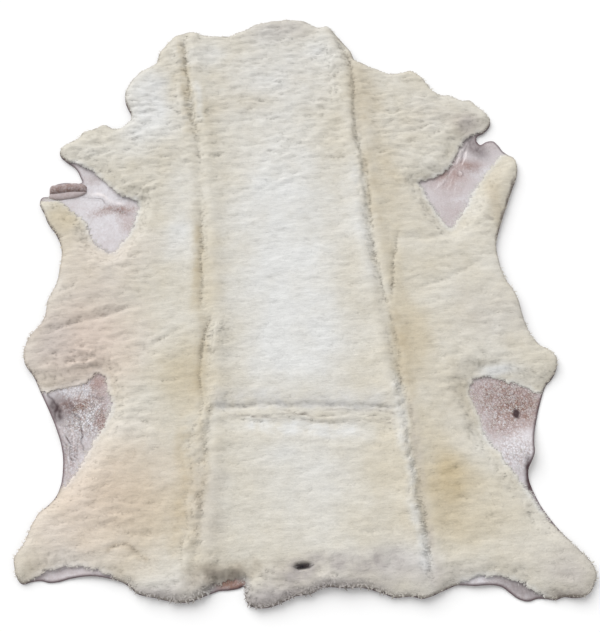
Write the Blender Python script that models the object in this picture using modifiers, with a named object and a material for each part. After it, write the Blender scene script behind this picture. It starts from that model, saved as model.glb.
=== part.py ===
"""A short-clipped sheepskin that lies flat with its wool up.

Metres, +Z up. The origin is on the floor under the middle of the pelt's box. +Y runs along the spine to the
neck, and +X is on the right as seen from above with the neck at the top. The pelt is one body: a thin leather
with short wool on it, uneven along the folds it was once packed in, and bare at the four leg pits.
"""

import math

import bpy
import numpy as np
from mathutils import Vector
from mathutils.geometry import delaunay_2d_cdt

MM = 0.001

LEATHER = 1.8 * MM
WOOL = 12.0 * MM
WOOL_UNEVEN = 1.1 * MM  # how far the clipped wool swells and sinks in broad patches
RIM_SHARE = 0.45  # of the wool's height, left at the very edge
RIM_ROUND = 15 * MM  # from the edge to where the wool is at full height
PIT_WALL = 9 * MM  # over which the wool falls to the bare skin
SKIN_WRINKLE = 0.8 * MM  # the height of the bare skin's wrinkles
SKIN_WRINKLE_STEP = 56 * MM
SKIN_WRINKLE_BEND = 145 * MM  # the length over which a wrinkle winds to and fro

FOLD_TENT = 4.5 * MM  # the leather's rise off the floor under a fold
FOLD_TENT_REACH = 26 * MM
FOLD_GROOVE = 5.0 * MM  # the parting of the wool on the fold's crest
FOLD_GROOVE_REACH = 9 * MM
FOLD_BANK = 3.5 * MM  # the bank of wool that stands beside the parting
FOLD_BANK_PLACE = 17 * MM  # from the parting, towards the spine
FOLD_BANK_REACH = 14 * MM
FOLD_UNEVEN = 0.35  # how much a fold's bank and parting come and go along it
FOLD_WAVES = ((230 * MM, 0.6), (83 * MM, 0.4))  # swells along a fold: length, share of its unevenness
CROSS_DEPTH = 3.2 * MM
CROSS_REACH = 10 * MM
CROSS_STEP = 21 * MM  # between the wrinkles of the cross fold

FLAP_THICK = 8.5 * MM
FLAP_REACH = 12 * MM  # half the rolled flap's width
FLAP_ROWS = (-1, -0.6, 0, 0.6, 1)  # of the reach: where the sheet's points follow the flap
SLIT_LONG = 22 * MM
SLIT_WIDE = 7 * MM
SLIT_TURN = math.radians(8)
SLIT_CORNERS = 12

GRID = 25 * MM  # between the sheet's inner points
RIM_STEP = 13 * MM
PIT_STEP = 15 * MM
FOLD_STEP = 21 * MM
CLEARANCE = 0.62  # of a grid step that inner points keep to any line
RIM_INSET = 10 * MM  # between the edge and the first row of points inside it
LEAST_GAP = 7 * MM  # between points of the rows beside the edge and the pits
WELD = 0.01 * MM
CURVE_STEPS = 8  # straight pieces that a smooth curve has between two landmarks

# The outline, clockwise from the left end of the neck, in millimetres: (across, along).
NECK = (
    (-196, 511), (-169, 534), (-147, 537), (-108, 526), (-65, 523), (-55, 532), (-35, 536), (-26, 545),
    (-7, 550), (19, 554), (66, 554), (87, 546), (108, 528), (126, 531),
)
RIGHT_SHOULDER = (
    (136, 516), (152, 484), (163, 462), (171, 435), (192, 421), (223, 403), (245, 396), (272, 403),
    (286, 395), (300, 367), (314, 342),
)
RIGHT_FORELEG = ((339, 333), (361, 320), (371, 321), (381, 309), (392, 292), (403, 272), (388, 247), (371, 238))
RIGHT_FOREPIT = ((368, 230), (374, 217), (386, 222), (398, 223), (408, 210), (416, 194), (426, 189))
RIGHT_WAIST = (
    (430, 173), (428, 153), (408, 112), (390, 77), (370, 36), (359, 8), (357, -18), (359, -50),
    (372, -96), (374, -128), (381, -163), (389, -178), (410, -198), (411, -211), (397, -237),
)
RIGHT_HINDPIT = (
    (386, -246), (374, -265), (359, -296), (343, -333), (338, -354), (325, -376), (328, -408),
)
RIGHT_HIND_LEG = (
    (344, -449), (366, -483), (386, -511), (389, -524), (381, -542), (371, -551), (359, -554),
    (336, -551), (320, -554), (308, -549),
)
TAIL_RIGHT = (
    (289, -552), (276, -548), (255, -530), (245, -527), (212, -525), (196, -522), (169, -529),
    (142, -535), (125, -530), (108, -531),
)
TAIL_MIDDLE = (
    (91, -524), (59, -513), (38, -512), (22, -509), (6, -508), (-8, -514), (-34, -516), (-57, -524),
    (-84, -526), (-99, -518), (-101, -508), (-104, -494), (-112, -499), (-136, -499), (-160, -505),
    (-182, -510), (-209, -505),
)
TAIL_LEFT = (
    (-225, -500), (-252, -491), (-263, -480), (-288, -469), (-318, -463), (-345, -464), (-368, -467),
    (-390, -462), (-412, -464),
)
LEFT_HIND_LEG = (
    (-419, -448), (-422, -428), (-412, -415), (-402, -391), (-392, -372), (-373, -356), (-364, -340),
    (-360, -311),
)
LEFT_HINDPIT = ((-363, -276), (-371, -249), (-388, -211), (-399, -188), (-414, -156))
LEFT_WAIST = (
    (-426, -139), (-430, -118), (-424, -93), (-402, -63), (-396, -26), (-384, 5), (-380, 32), (-379, 66),
    (-391, 100), (-406, 124), (-413, 144), (-422, 164), (-418, 178), (-406, 179),
)
FLAP = ((-406, 189), (-398, 201), (-373, 203), (-350, 202))
LEFT_FORELEG = (
    (-353, 216), (-363, 236), (-380, 252), (-392, 271), (-384, 284), (-365, 294), (-348, 312),
    (-330, 315), (-309, 325), (-295, 313), (-274, 322),
)
LEFT_SHOULDER = ((-263, 336), (-273, 376), (-273, 402), (-260, 429), (-238, 453), (-216, 465), (-210, 488))

# The bare pits and the bare strips of the tail's edge, in millimetres. Their outer points lie past the outline.
LEFT_FOREPIT_BARE = (
    (-364, 242), (-351, 232), (-328, 216), (-310, 200), (-298, 182), (-287, 168), (-249, 152),
    (-246, 140), (-258, 107), (-264, 87), (-276, 71), (-292, 51), (-315, 69), (-329, 88), (-338, 110),
    (-364, 141), (-393, 168), (-412, 172), (-440, 190), (-420, 215), (-380, 225), (-385, 245),
)
RIGHT_FOREPIT_BARE = (
    (381, 253), (358, 238), (345, 223), (330, 202), (317, 180), (287, 160), (250, 146), (257, 125),
    (265, 100), (276, 66), (287, 48), (308, 63), (326, 85), (341, 107), (358, 131), (387, 171),
    (405, 192), (430, 215), (425, 240), (395, 238),
)
LEFT_HINDPIT_BARE = (
    (-394, -193), (-363, -177), (-344, -170), (-323, -166), (-306, -169), (-299, -182), (-291, -218),
    (-301, -253), (-324, -289), (-339, -312), (-358, -331), (-385, -330), (-400, -270), (-425, -200),
)
RIGHT_HINDPIT_BARE = (
    (382, -249), (355, -238), (326, -232), (292, -227), (268, -236), (262, -246), (268, -278),
    (271, -305), (287, -340), (303, -374), (319, -408), (345, -412), (360, -350), (400, -275),
    (412, -246),
)
TAIL_LEFT_BARE = (
    (-391, -461), (-377, -458), (-354, -450), (-322, -452), (-295, -464), (-282, -472), (-290, -490),
    (-350, -490), (-395, -480),
)
TAIL_RIGHT_BARE = (
    (196, -521), (214, -515), (244, -515), (271, -523), (284, -530), (299, -543), (308, -552),
    (290, -575), (230, -560), (196, -540),
)
BARE_PLACES = {
    "left_forepit_edge": LEFT_FOREPIT_BARE,
    "right_forepit_edge": RIGHT_FOREPIT_BARE,
    "left_hindpit_edge": LEFT_HINDPIT_BARE,
    "right_hindpit_edge": RIGHT_HINDPIT_BARE,
    "tail_left_edge": TAIL_LEFT_BARE,
    "tail_right_edge": TAIL_RIGHT_BARE,
}

# The folds the pelt was packed in, in millimetres.
LEFT_FOLD = (
    (-159, 548), (-156, 437), (-148, 315), (-140, 256), (-142, 201), (-139, 126), (-140, -31),
    (-140, -173), (-144, -239), (-158, -374), (-166, -437), (-177, -525),
)
RIGHT_FOLD = (
    (136, 530), (152, 447), (159, 358), (156, 287), (152, 229), (148, 100), (147, 39), (151, -77),
    (157, -234), (158, -374), (160, -418), (155, -550),
)
CROSS_FOLD = ((-135, -243), (-78, -246), (-2, -255), (75, -264), (128, -275), (146, -279))

# Broad troughs in the wool, in millimetres: (from, to, half width, depth).
TROUGHS = (
    ((-398, -86), (-240, -41), 22, 2.2),
    ((207, 33), (310, 39), 24, 1.4),
    ((173, -79), (330, -20), 22, 1.8),
    ((-160, -481), (140, -482), 24, 1.6),
    ((-330, -395), (-235, -430), 20, 1.8),
    ((-100, 480), (90, 500), 20, 1.5),
    ((-385, 250), (-290, 275), 18, 1.2),
)

# Where the edge stands off the floor, in millimetres: (across, along, reach, rise).
LIFTS = (
    (335, -352, 62, 14),
    (-372, -250, 48, 6),
    (384, 226, 42, 5),
    (-372, 226, 46, 5),
    (-300, -470, 60, 5),
    (225, -530, 58, 5),
    (40, -518, 60, 4),
    (366, -100, 52, 4),
    (-270, 370, 46, 4),
    (190, 425, 46, 4),
)

# The rolled flap of leather at the left foreleg, and the slit by the tail, in millimetres.
FLAP_LINE = ((-404, 189), (-386, 189), (-366, 190), (-344, 188))
SLIT_PLACE = (-18, -480)

# Broad swells of the wool: (waves across the width, waves along the length, phase, share of the unevenness).
SWELLS = ((2.3, 1.1, 0.4, 0.45), (3.7, -2.9, 2.1, 0.30), (-1.6, 5.3, 4.4, 0.30), (6.1, 4.2, 1.3, 0.18))


def pelt_outline():
    hind_right = RIGHT_HINDPIT + RIGHT_HIND_LEG + TAIL_RIGHT + TAIL_MIDDLE
    hind_left = TAIL_LEFT + LEFT_HIND_LEG + LEFT_HINDPIT
    front_right = NECK + RIGHT_SHOULDER + RIGHT_FORELEG + RIGHT_FOREPIT + RIGHT_WAIST
    front_left = LEFT_WAIST + FLAP + LEFT_FORELEG + LEFT_SHOULDER
    return front_right + hind_right + hind_left + front_left


def clear_scene():
    for thing in list(bpy.data.objects):
        bpy.data.objects.remove(thing)


def new_collection(name):
    collection = bpy.data.collections.new(name)
    bpy.context.scene.collection.children.link(collection)
    return collection


def material(name, colour, roughness, sheen):
    made = bpy.data.materials.new(name)
    made.use_nodes = True
    made.diffuse_color = (*colour, 1)
    shader = made.node_tree.nodes["Principled BSDF"]
    shader.inputs["Base Color"].default_value = (*colour, 1)
    shader.inputs["Roughness"].default_value = roughness
    shader.inputs["Metallic"].default_value = 0
    shader.inputs["Sheen Weight"].default_value = sheen
    return made


def guide_line(name, landmarks, step, closed, collection):
    """Evenly spaced points, in metres, on a smooth curve through landmarks in millimetres."""
    curve = bpy.data.curves.new(name, "CURVE")
    curve.dimensions = "3D"
    curve.resolution_u = CURVE_STEPS
    spline = curve.splines.new("BEZIER")
    spline.bezier_points.add(len(landmarks) - 1)
    spline.use_cyclic_u = closed
    for knot, (across, along) in zip(spline.bezier_points, landmarks):
        knot.co = (across * MM, along * MM, 0)
        knot.handle_left_type = "AUTO"
        knot.handle_right_type = "AUTO"
    guide = bpy.data.objects.new(name, curve)
    guide.hide_render = True
    guide.display_type = "WIRE"
    collection.objects.link(guide)
    bpy.context.view_layer.update()
    traced = guide.evaluated_get(bpy.context.evaluated_depsgraph_get()).to_mesh()
    points = np.array([vertex.co[:2] for vertex in traced.vertices])
    if closed:
        points = np.vstack([points, points[:1]])
    run = np.append(0, np.cumsum(np.linalg.norm(np.diff(points, axis=0), axis=1)))
    count = max(2, round(run[-1] / step)) + 1
    places = np.linspace(0, run[-1], count)
    even = np.column_stack([np.interp(places, run, points[:, axis]) for axis in (0, 1)])
    return even[:-1] if closed else even


def next_points(line, closed):
    return np.roll(line, -1, axis=0) if closed else line[1:]


def distance(points, line, closed):
    """How far each point is from the line, and from which side: positive on the line's left."""
    starts = line if closed else line[:-1]
    ways = next_points(line, closed) - starts
    best = np.full(len(points), np.inf)
    side = np.ones(len(points))
    for start, way in zip(starts, ways):
        reach = points - start
        share = np.clip(reach @ way / (way @ way), 0, 1)
        gap = np.linalg.norm(reach - share[:, None] * way, axis=1)
        turn = np.sign(way[0] * reach[:, 1] - way[1] * reach[:, 0])
        closer = gap < best
        best = np.where(closer, gap, best)
        side = np.where(closer, turn, side)
    return best, side


def inside(points, loop):
    """Whether each point lies in the closed loop, by counting the edges it looks past."""
    ends = next_points(loop, True)
    found = np.zeros(len(points), bool)
    for (x0, y0), (x1, y1) in zip(loop, ends):
        spans = (y0 > points[:, 1]) != (y1 > points[:, 1])
        if y0 != y1:
            crossing = x0 + (points[:, 1] - y0) * (x1 - x0) / (y1 - y0)
            found ^= spans & (points[:, 0] < crossing)
    return found


def depth_inside(points, loop):
    """The distance to the loop, positive inside it and negative outside."""
    gap, _ = distance(points, loop, True)
    return np.where(inside(points, loop), gap, -gap)


def soft_step(value, low, high):
    share = np.clip((value - low) / (high - low), 0, 1)
    return share * share * (3 - 2 * share)


def bell(gap, reach):
    """1 on the line, and exactly 0 from the reach outwards."""
    return (1 + np.cos(math.pi * np.clip(gap / reach, 0, 1))) / 2


def offset_line(line, shift):
    """The line moved to its left by the shift."""
    ways = np.gradient(line, axis=0)
    normals = np.column_stack([-ways[:, 1], ways[:, 0]])
    return line + shift * normals / np.linalg.norm(normals, axis=1)[:, None]


def clockwise(loop):
    ends = next_points(loop, True)
    area = np.sum(loop[:, 0] * ends[:, 1] - ends[:, 0] * loop[:, 1]) / 2
    return loop if area < 0 else loop[::-1]


def slit_loop():
    turns = np.arange(SLIT_CORNERS) * 2 * math.pi / SLIT_CORNERS
    long_way = np.cos(turns) * SLIT_LONG / 2
    wide_way = np.sin(turns) * SLIT_WIDE / 2
    across = long_way * math.cos(SLIT_TURN) - wide_way * math.sin(SLIT_TURN)
    along = long_way * math.sin(SLIT_TURN) + wide_way * math.cos(SLIT_TURN)
    return np.column_stack([across, along]) + np.array(SLIT_PLACE) * MM


def draw_lines():
    """Every line the pelt is worked out from, as evenly spaced points."""
    guides = new_collection("guides")
    outline = guide_line("pelt_outline", pelt_outline(), RIM_STEP, True, guides)
    middle = (outline.min(axis=0) + outline.max(axis=0)) / 2
    pits = [guide_line(name, marks, PIT_STEP, True, guides) for name, marks in BARE_PLACES.items()]
    return {
        "outline": outline - middle,
        "pits": pits,
        "left_fold": guide_line("left_fold", LEFT_FOLD, FOLD_STEP, False, guides),
        "right_fold": guide_line("right_fold", RIGHT_FOLD, FOLD_STEP, False, guides),
        "cross_fold": guide_line("cross_fold", CROSS_FOLD, FOLD_STEP, False, guides),
        "flap": np.array(FLAP_LINE) * MM,
        "slit": slit_loop(),
    }


def fold_bank_side(name):
    """The bank stands on the spine's side of each fold. Both folds run from the neck to the tail."""
    return 1 if name == "left_fold" else -1


def inner_lines(lines):
    """The open lines that the sheet's edges follow inside the outline."""
    rows = []
    for name in ("left_fold", "right_fold"):
        fold = lines[name]
        bank = fold_bank_side(name) * FOLD_BANK_PLACE
        shifts = (-FOLD_TENT_REACH, -FOLD_GROOVE_REACH, 0, FOLD_GROOVE_REACH)
        rows += [offset_line(fold, fold_bank_side(name) * shift) for shift in shifts]
        rows.append(offset_line(fold, bank))
    cross_shifts = (-CROSS_STEP, -CROSS_REACH, 0, CROSS_REACH)
    rows += [offset_line(lines["cross_fold"], shift) for shift in cross_shifts]
    rows += [offset_line(lines["flap"], share * FLAP_REACH) for share in FLAP_ROWS]
    return rows


def kept_apart(points, others, gap):
    """The points that stay this far from the others and from the points kept before them."""
    kept = []
    for point in points:
        near = others if not kept else np.vstack([others, kept])
        if np.min(np.linalg.norm(near - point, axis=1)) >= gap:
            kept.append(point)
    return np.array(kept).reshape(-1, 2)


def grid_points(outline, taken):
    low = outline.min(axis=0)
    high = outline.max(axis=0)
    rows = []
    for number, along in enumerate(np.arange(low[1], high[1], GRID * math.sqrt(3) / 2)):
        across = np.arange(low[0], high[0], GRID) + (GRID / 2 if number % 2 else 0)
        rows.append(np.column_stack([across, np.full(len(across), along)]))
    grid = np.vstack(rows)
    grid = grid[depth_inside(grid, outline) > CLEARANCE * GRID]
    gaps = np.linalg.norm(grid[:, None] - taken[None], axis=2).min(axis=1)
    return grid[gaps > CLEARANCE * GRID]


def sheet_points(lines):
    """The sheet's points, and the edges between them that follow the lines."""
    outline = lines["outline"]
    points = []
    edges = []

    def add(line, closed):
        start = sum(len(row) for row in points)
        count = len(line)
        points.append(line)
        last = count if closed else count - 1
        edges.extend((start + number, start + (number + 1) % count) for number in range(last))

    add(outline, True)
    add(lines["slit"], True)
    for pit in lines["pits"]:
        add(pit, True)
    for row in inner_lines(lines):
        add(row[depth_inside(row, outline) > RIM_STEP / 2], False)
    loose_rows = [offset_line(outline, -RIM_INSET)]
    loose_rows += [offset_line(clockwise(pit), -PIT_WALL) for pit in lines["pits"]]
    for row in loose_rows:
        within = row[depth_inside(row, outline) > LEAST_GAP]
        points.append(kept_apart(within, np.vstack(points), LEAST_GAP))
    points.append(grid_points(outline, np.vstack(points)))
    return np.vstack(points), edges


def triangulate(points, edges, lines):
    """Triangles over the pelt, with none past the outline or in the slit."""
    flat = [Vector(point) for point in points]
    made, _, faces, *_ = delaunay_2d_cdt(flat, edges, [], 0, WELD)
    spots = np.array([tuple(point) for point in made])
    corners = np.array([tuple(face) for face in faces])
    middles = spots[corners].mean(axis=1)
    kept = corners[inside(middles, lines["outline"]) & ~inside(middles, lines["slit"])]
    used, renumbered = np.unique(kept, return_inverse=True)
    return spots[used], renumbered.reshape(-1, 3)


def bareness(spots, lines):
    """1 on bare skin, 0 under full wool."""
    bare = np.zeros(len(spots))
    for pit in lines["pits"]:
        bare = np.maximum(bare, soft_step(depth_inside(spots, pit), 0, PIT_WALL))
    return bare


def swell(spots):
    low = spots.min(axis=0)
    size = spots.max(axis=0) - low
    share = (spots - low) / size
    total = np.zeros(len(spots))
    for across, along, phase, part in SWELLS:
        total += part * np.sin(2 * math.pi * (across * share[:, 0] + along * share[:, 1]) + phase)
    return total * WOOL_UNEVEN


def troughs(spots):
    depth = np.zeros(len(spots))
    for start, end, half_width, deep in TROUGHS:
        gap, _ = distance(spots, np.array([start, end]) * MM, False)
        depth += bell(gap, half_width * MM) * deep * MM
    return depth


def fold_strength(spots):
    """How far a fold stands out at each place along the pelt, about 1 on average."""
    strength = np.ones(len(spots))
    for length, share in FOLD_WAVES:
        shift = np.sign(spots[:, 0])
        strength += FOLD_UNEVEN * share * np.sin(2 * math.pi * spots[:, 1] / length + shift)
    return strength


def fold_relief(spots, lines):
    """How far the wool stands above its common height along the two long folds and the cross fold."""
    relief = np.zeros(len(spots))
    for name in ("left_fold", "right_fold"):
        gap, side = distance(spots, lines[name], False)
        towards_spine = gap * side * fold_bank_side(name)
        groove = FOLD_GROOVE * bell(gap, FOLD_GROOVE_REACH)
        bank = FOLD_BANK * bell(np.abs(towards_spine - FOLD_BANK_PLACE), FOLD_BANK_REACH)
        relief += (bank - groove) * fold_strength(spots)
    for shift in (0, -CROSS_STEP):
        gap, _ = distance(spots, offset_line(lines["cross_fold"], shift), False)
        relief -= CROSS_DEPTH * bell(gap, CROSS_REACH)
    return relief


def wool_height(spots, lines):
    edge_gap, _ = distance(spots, lines["outline"], True)
    rim = np.clip(edge_gap / RIM_ROUND, 0, 1)
    rounded = RIM_SHARE + (1 - RIM_SHARE) * np.sqrt(rim * (2 - rim))
    height = WOOL + swell(spots) - troughs(spots) + fold_relief(spots, lines)
    return height * rounded * (1 - bareness(spots, lines))


def wrinkles(spots, lines):
    bend = math.pi * np.sin(2 * math.pi * spots[:, 1] / SKIN_WRINKLE_BEND)
    ripple = (1 + np.sin(2 * math.pi * spots[:, 0] / SKIN_WRINKLE_STEP + bend)) / 2
    return SKIN_WRINKLE * ripple * bareness(spots, lines)


def flap_rise(spots, lines):
    gap, _ = distance(spots, lines["flap"], False)
    share = np.clip(gap / FLAP_REACH, 0, 1)
    return FLAP_THICK * np.sqrt(1 - share * share)


def thickness(spots, lines):
    full = LEATHER + wool_height(spots, lines) + wrinkles(spots, lines)
    return np.maximum(full, flap_rise(spots, lines))


def floor_gap(spots, lines):
    """How high the leather's underside stands off the floor."""
    rise = np.zeros(len(spots))
    for across, along, reach, height in LIFTS:
        gap = np.linalg.norm(spots - np.array([across, along]) * MM, axis=1)
        rise = np.maximum(rise, bell(gap, reach * MM) * height * MM)
    for name in ("left_fold", "right_fold"):
        gap, _ = distance(spots, lines[name], False)
        rise = np.maximum(rise, bell(gap, FOLD_TENT_REACH) * FOLD_TENT)
    return rise


def build_pelt(lines, collection):
    spots, faces = triangulate(*sheet_points(lines), lines)
    heights = floor_gap(spots, lines)
    mesh = bpy.data.meshes.new("sheepskin")
    mesh.from_pydata([(x, y, z) for (x, y), z in zip(spots, heights)], [], faces.tolist())
    mesh.materials.append(material("cream wool", (0.80, 0.73, 0.60), 0.95, 0.5))
    mesh.materials.append(material("bare leather", (0.74, 0.66, 0.66), 0.7, 0.1))
    bare = bareness(spots, lines)[faces].mean(axis=1)
    mesh.polygons.foreach_set("material_index", (bare > 0.5).astype(int))
    mesh.shade_smooth()
    pelt = bpy.data.objects.new("sheepskin", mesh)
    collection.objects.link(pelt)
    thick = thickness(spots, lines)
    group = pelt.vertex_groups.new(name="thickness")
    for number, value in enumerate(thick / thick.max()):
        group.add([number], float(value), "REPLACE")
    solid = pelt.modifiers.new("Solidify", "SOLIDIFY")
    solid.thickness = float(thick.max())
    solid.offset = 1
    solid.vertex_group = group.name
    solid.material_offset = 1
    solid.material_offset_rim = 1
    return pelt


def main():
    clear_scene()
    collection = new_collection("sheepskin")
    build_pelt(draw_lines(), collection)


main()
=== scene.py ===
"""The looks of a short-clipped sheepskin that lies flat with its wool up."""

import math

import bmesh
import bpy
import numpy as np
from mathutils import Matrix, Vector
from mathutils.bvhtree import BVHTree
from mathutils.geometry import delaunay_2d_cdt


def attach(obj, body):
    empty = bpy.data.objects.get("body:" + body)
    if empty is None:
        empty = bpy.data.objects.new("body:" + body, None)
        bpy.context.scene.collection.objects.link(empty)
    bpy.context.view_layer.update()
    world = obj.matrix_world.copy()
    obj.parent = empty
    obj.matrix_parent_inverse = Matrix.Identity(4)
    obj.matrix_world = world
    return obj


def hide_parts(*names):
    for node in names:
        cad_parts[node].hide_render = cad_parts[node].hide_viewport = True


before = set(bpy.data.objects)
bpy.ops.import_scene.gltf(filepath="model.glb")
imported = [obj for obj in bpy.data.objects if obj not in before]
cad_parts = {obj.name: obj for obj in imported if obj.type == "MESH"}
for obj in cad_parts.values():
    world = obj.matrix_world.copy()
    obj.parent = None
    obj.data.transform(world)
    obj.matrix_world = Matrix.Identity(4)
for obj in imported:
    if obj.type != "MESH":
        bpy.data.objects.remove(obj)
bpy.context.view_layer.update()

MM = 0.001
NODE = "sheepskin"

# Camera, as the photograph was taken: high over the tail end, turned a little to the pelt's right.
IMAGE_LONG_SIDE = 632
FOCAL_PIXELS = 700
SENSOR = 36
CAMERA_PLACE = (-0.0302, -0.5631, 1.045)
CAMERA_DIP = math.radians(65.7)
CAMERA_TURN = math.radians(-5.3)

# Light: a white sky, and a broad sun from beyond the neck at the pelt's left.
WORLD_STRENGTH = 0.62
SUN_PLACE = (-0.9, 1.7, 1.5)
SUN_STRENGTH = 2.37
SUN_SPREAD = math.radians(55)

# The pelt
LEATHER = 1.8 * MM
WOOL = 12 * MM
CELL = 2.9 * MM  # of the fleece's mesh
MARGIN_CELLS = 6  # that the grid reaches past the pelt
SMOOTHING = 4.5 * MM  # takes out the solid's flat faces
OUTLINE_STEP = 3 * MM
HIDE_STEP = 9 * MM
PIT_STEP = 2.3 * MM  # between the hide's points where it is bare
NAP_SPACING = 5.5 * MM
CREST = 0.8 * MM  # by which a lock's middle stands over the clipped surface
RIM_INSETS = (1.6, 3.0, 4.8, 6.8, 9.0, 11.5)  # of the rows of tufts from the edge, in millimetres
EDGE_PAST = 0.9 * MM  # by which the leather reaches past the wool
STEEPEST = 0.60  # upward share of the facing, below which no nap grows

# The two ridges of pushed-up wool behind the cross fold, in millimetres
RIGHT_RIDGE = ((148, -215), (150, -258), (148, -306), (151, -361), (147, -402), (153, -454), (150, -515))
LEFT_RIDGE = (
    (-138, -222), (-146, -250), (-155, -294), (-150, -333), (-162, -373), (-163, -409), (-172, -450),
)

# Lines where the wool parts, in millimetres: (points, depth, half width).
PARTINGS = (
    (((-160, 515), (-158, 450), (-153, 400), (-150, 340), (-148, 295)), 3.2, 5.0),
    (((-147, 288), (-138, 262), (-140, 240), (-137, 212)), 3.0, 4.5),
    (((-139, 120), (-141, 60), (-144, 8), (-144, -34), (-150, -74)), 2.6, 4.8),
    (((-126, -80), (-134, -92), (-142, -120), (-148, -148), (-152, -190), (-151, -232)), 3.2, 5.5),
    (((-160, -250), (-172, -300), (-166, -340), (-178, -375), (-177, -410), (-186, -440), (-182, -505)),
      1.7, 5.0),
    (((138, 520), (150, 470), (160, 430), (158, 380), (155, 340), (150, 300), (150, 255), (154, 208)),
      3.0, 5.0),
    (((158, 206), (157, 163), (154, 122), (152, 82), (152, 45)), 2.6, 4.8),
    (((146, 47), (148, 10), (150, -19), (152, -61), (159, -102)), 2.8, 4.8),
    (((198, 52), (191, 33), (184, 5), (177, -21), (168, -63), (161, -100)), 2.4, 4.5),
    (((160, -98), (161, -137), (162, -176), (158, -219), (164, -250), (168, -269), (166, -312)),
      2.8, 6.5),
    (((166, -310), (164, -350), (162, -404), (163, -455), (160, -505), (158, -534)), 0.8, 6.5),
    (((-146, -234), (-110, -238), (-60, -242), (0, -247), (60, -254), (110, -260), (150, -268)),
      3.0, 6.5),
    (((-112, -249), (-99, -252), (-63, -259), (-25, -265), (15, -274), (55, -281), (97, -282),
      (140, -292)), 2.2, 2.6),
    (((-30, -254), (29, -267), (85, -268), (124, -282), (146, -286)), 2.2, 2.6),
    (((60, -261), (100, -264), (145, -277)), 2.0, 2.6),
    (((-120, -256), (-80, -264), (-40, -272)), 2.0, 2.8),
    (((-150, 303), (-60, 307), (20, 303), (100, 307)), 1.5, 4.0),
    (((100, 208), (118, 204), (134, 213)), 3.0, 4.5),
    (((-398, -93), (-350, -76), (-300, -66), (-262, -53)), 2.4, 6.0),
    (((205, -68), (250, -58), (300, -36), (325, -22)), 1.7, 7.0),
    (((212, 32), (250, 29), (290, 38)), 1.3, 7.0),
    (((-252, 139), (-239, 147), (-228, 149)), 3.0, 3.6),
    (((-378, -4), (-362, -14), (-349, -3)), 2.8, 3.2),
    (((-226, -126), (-216, -122), (-201, -115), (-188, -111)), 3.0, 3.6),
    (((-344, -137), (-331, -133), (-309, -141)), 2.6, 3.0),
    (((-352, -153), (-325, -149), (-303, -160)), 2.4, 3.0),
    (((-373, -166), (-352, -164), (-330, -161)), 2.6, 3.4),
    (((-304, -398), (-268, -413), (-234, -419)), 2.2, 3.4),
    (((-292, -435), (-268, -428), (-248, -443), (-231, -452)), 2.8, 3.4),
    (((-364, -414), (-344, -423), (-314, -423)), 1.8, 3.4),
    (((-250, -186), (-200, -190), (-164, -187)), 1.6, 4.0),
    (((-200, 352), (-168, 330), (-160, 322)), 1.8, 4.0),
    (((170, 205), (215, 214), (262, 200), (300, 206)), 1.4, 5.0),
    (((-172, -470), (-139, -482), (-100, -474)), 3.0, 10.0),
)

# Lines where the wool is pushed up, in millimetres: (points, height, half width).
RIDGES = (
    (((118, 480), (121, 420), (119, 370), (117, 325)), 2.2, 7.0),
    (((147, 228), (144, 190), (141, 145), (139, 100)), 3.2, 7.0),
    (((147, -215), (149, -258), (147, -306), (150, -361), (146, -402), (152, -454), (149, -515)),
      2.0, 11.0),
    (LEFT_RIDGE, 3.4, 9.0),
    (((-147, 410), (-142, 350), (-140, 300)), 2.2, 5.5),
    (((-173, 510), (-172, 430), (-166, 350), (-163, 292)), 1.6, 11.0),
    (((-380, -80), (-330, -62), (-270, -42)), 1.6, 9.0),
    (((106, 222), (122, 218), (136, 226)), 1.8, 8.0),
    (((-258, 178), (-235, 172), (-208, 180)), 1.6, 9.0),
    (((-118, -92), (-126, -128), (-132, -160)), 2.6, 7.0),
)

# Ridges that carry larger locks, in millimetres: (points, half width, locks for each millimetre).
LOCKED_RIDGES = (
    (RIGHT_RIDGE, 6, 0.9),
    (((-136, -215), *LEFT_RIDGE[1:]), 9, 1.1),
    (((-122, -85), (-128, -120), (-134, -160), (-138, -200)), 6, 0.8),
    (((170, 50), (172, 10), (168, -40), (163, -80)), 6, 0.8),
)

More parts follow.
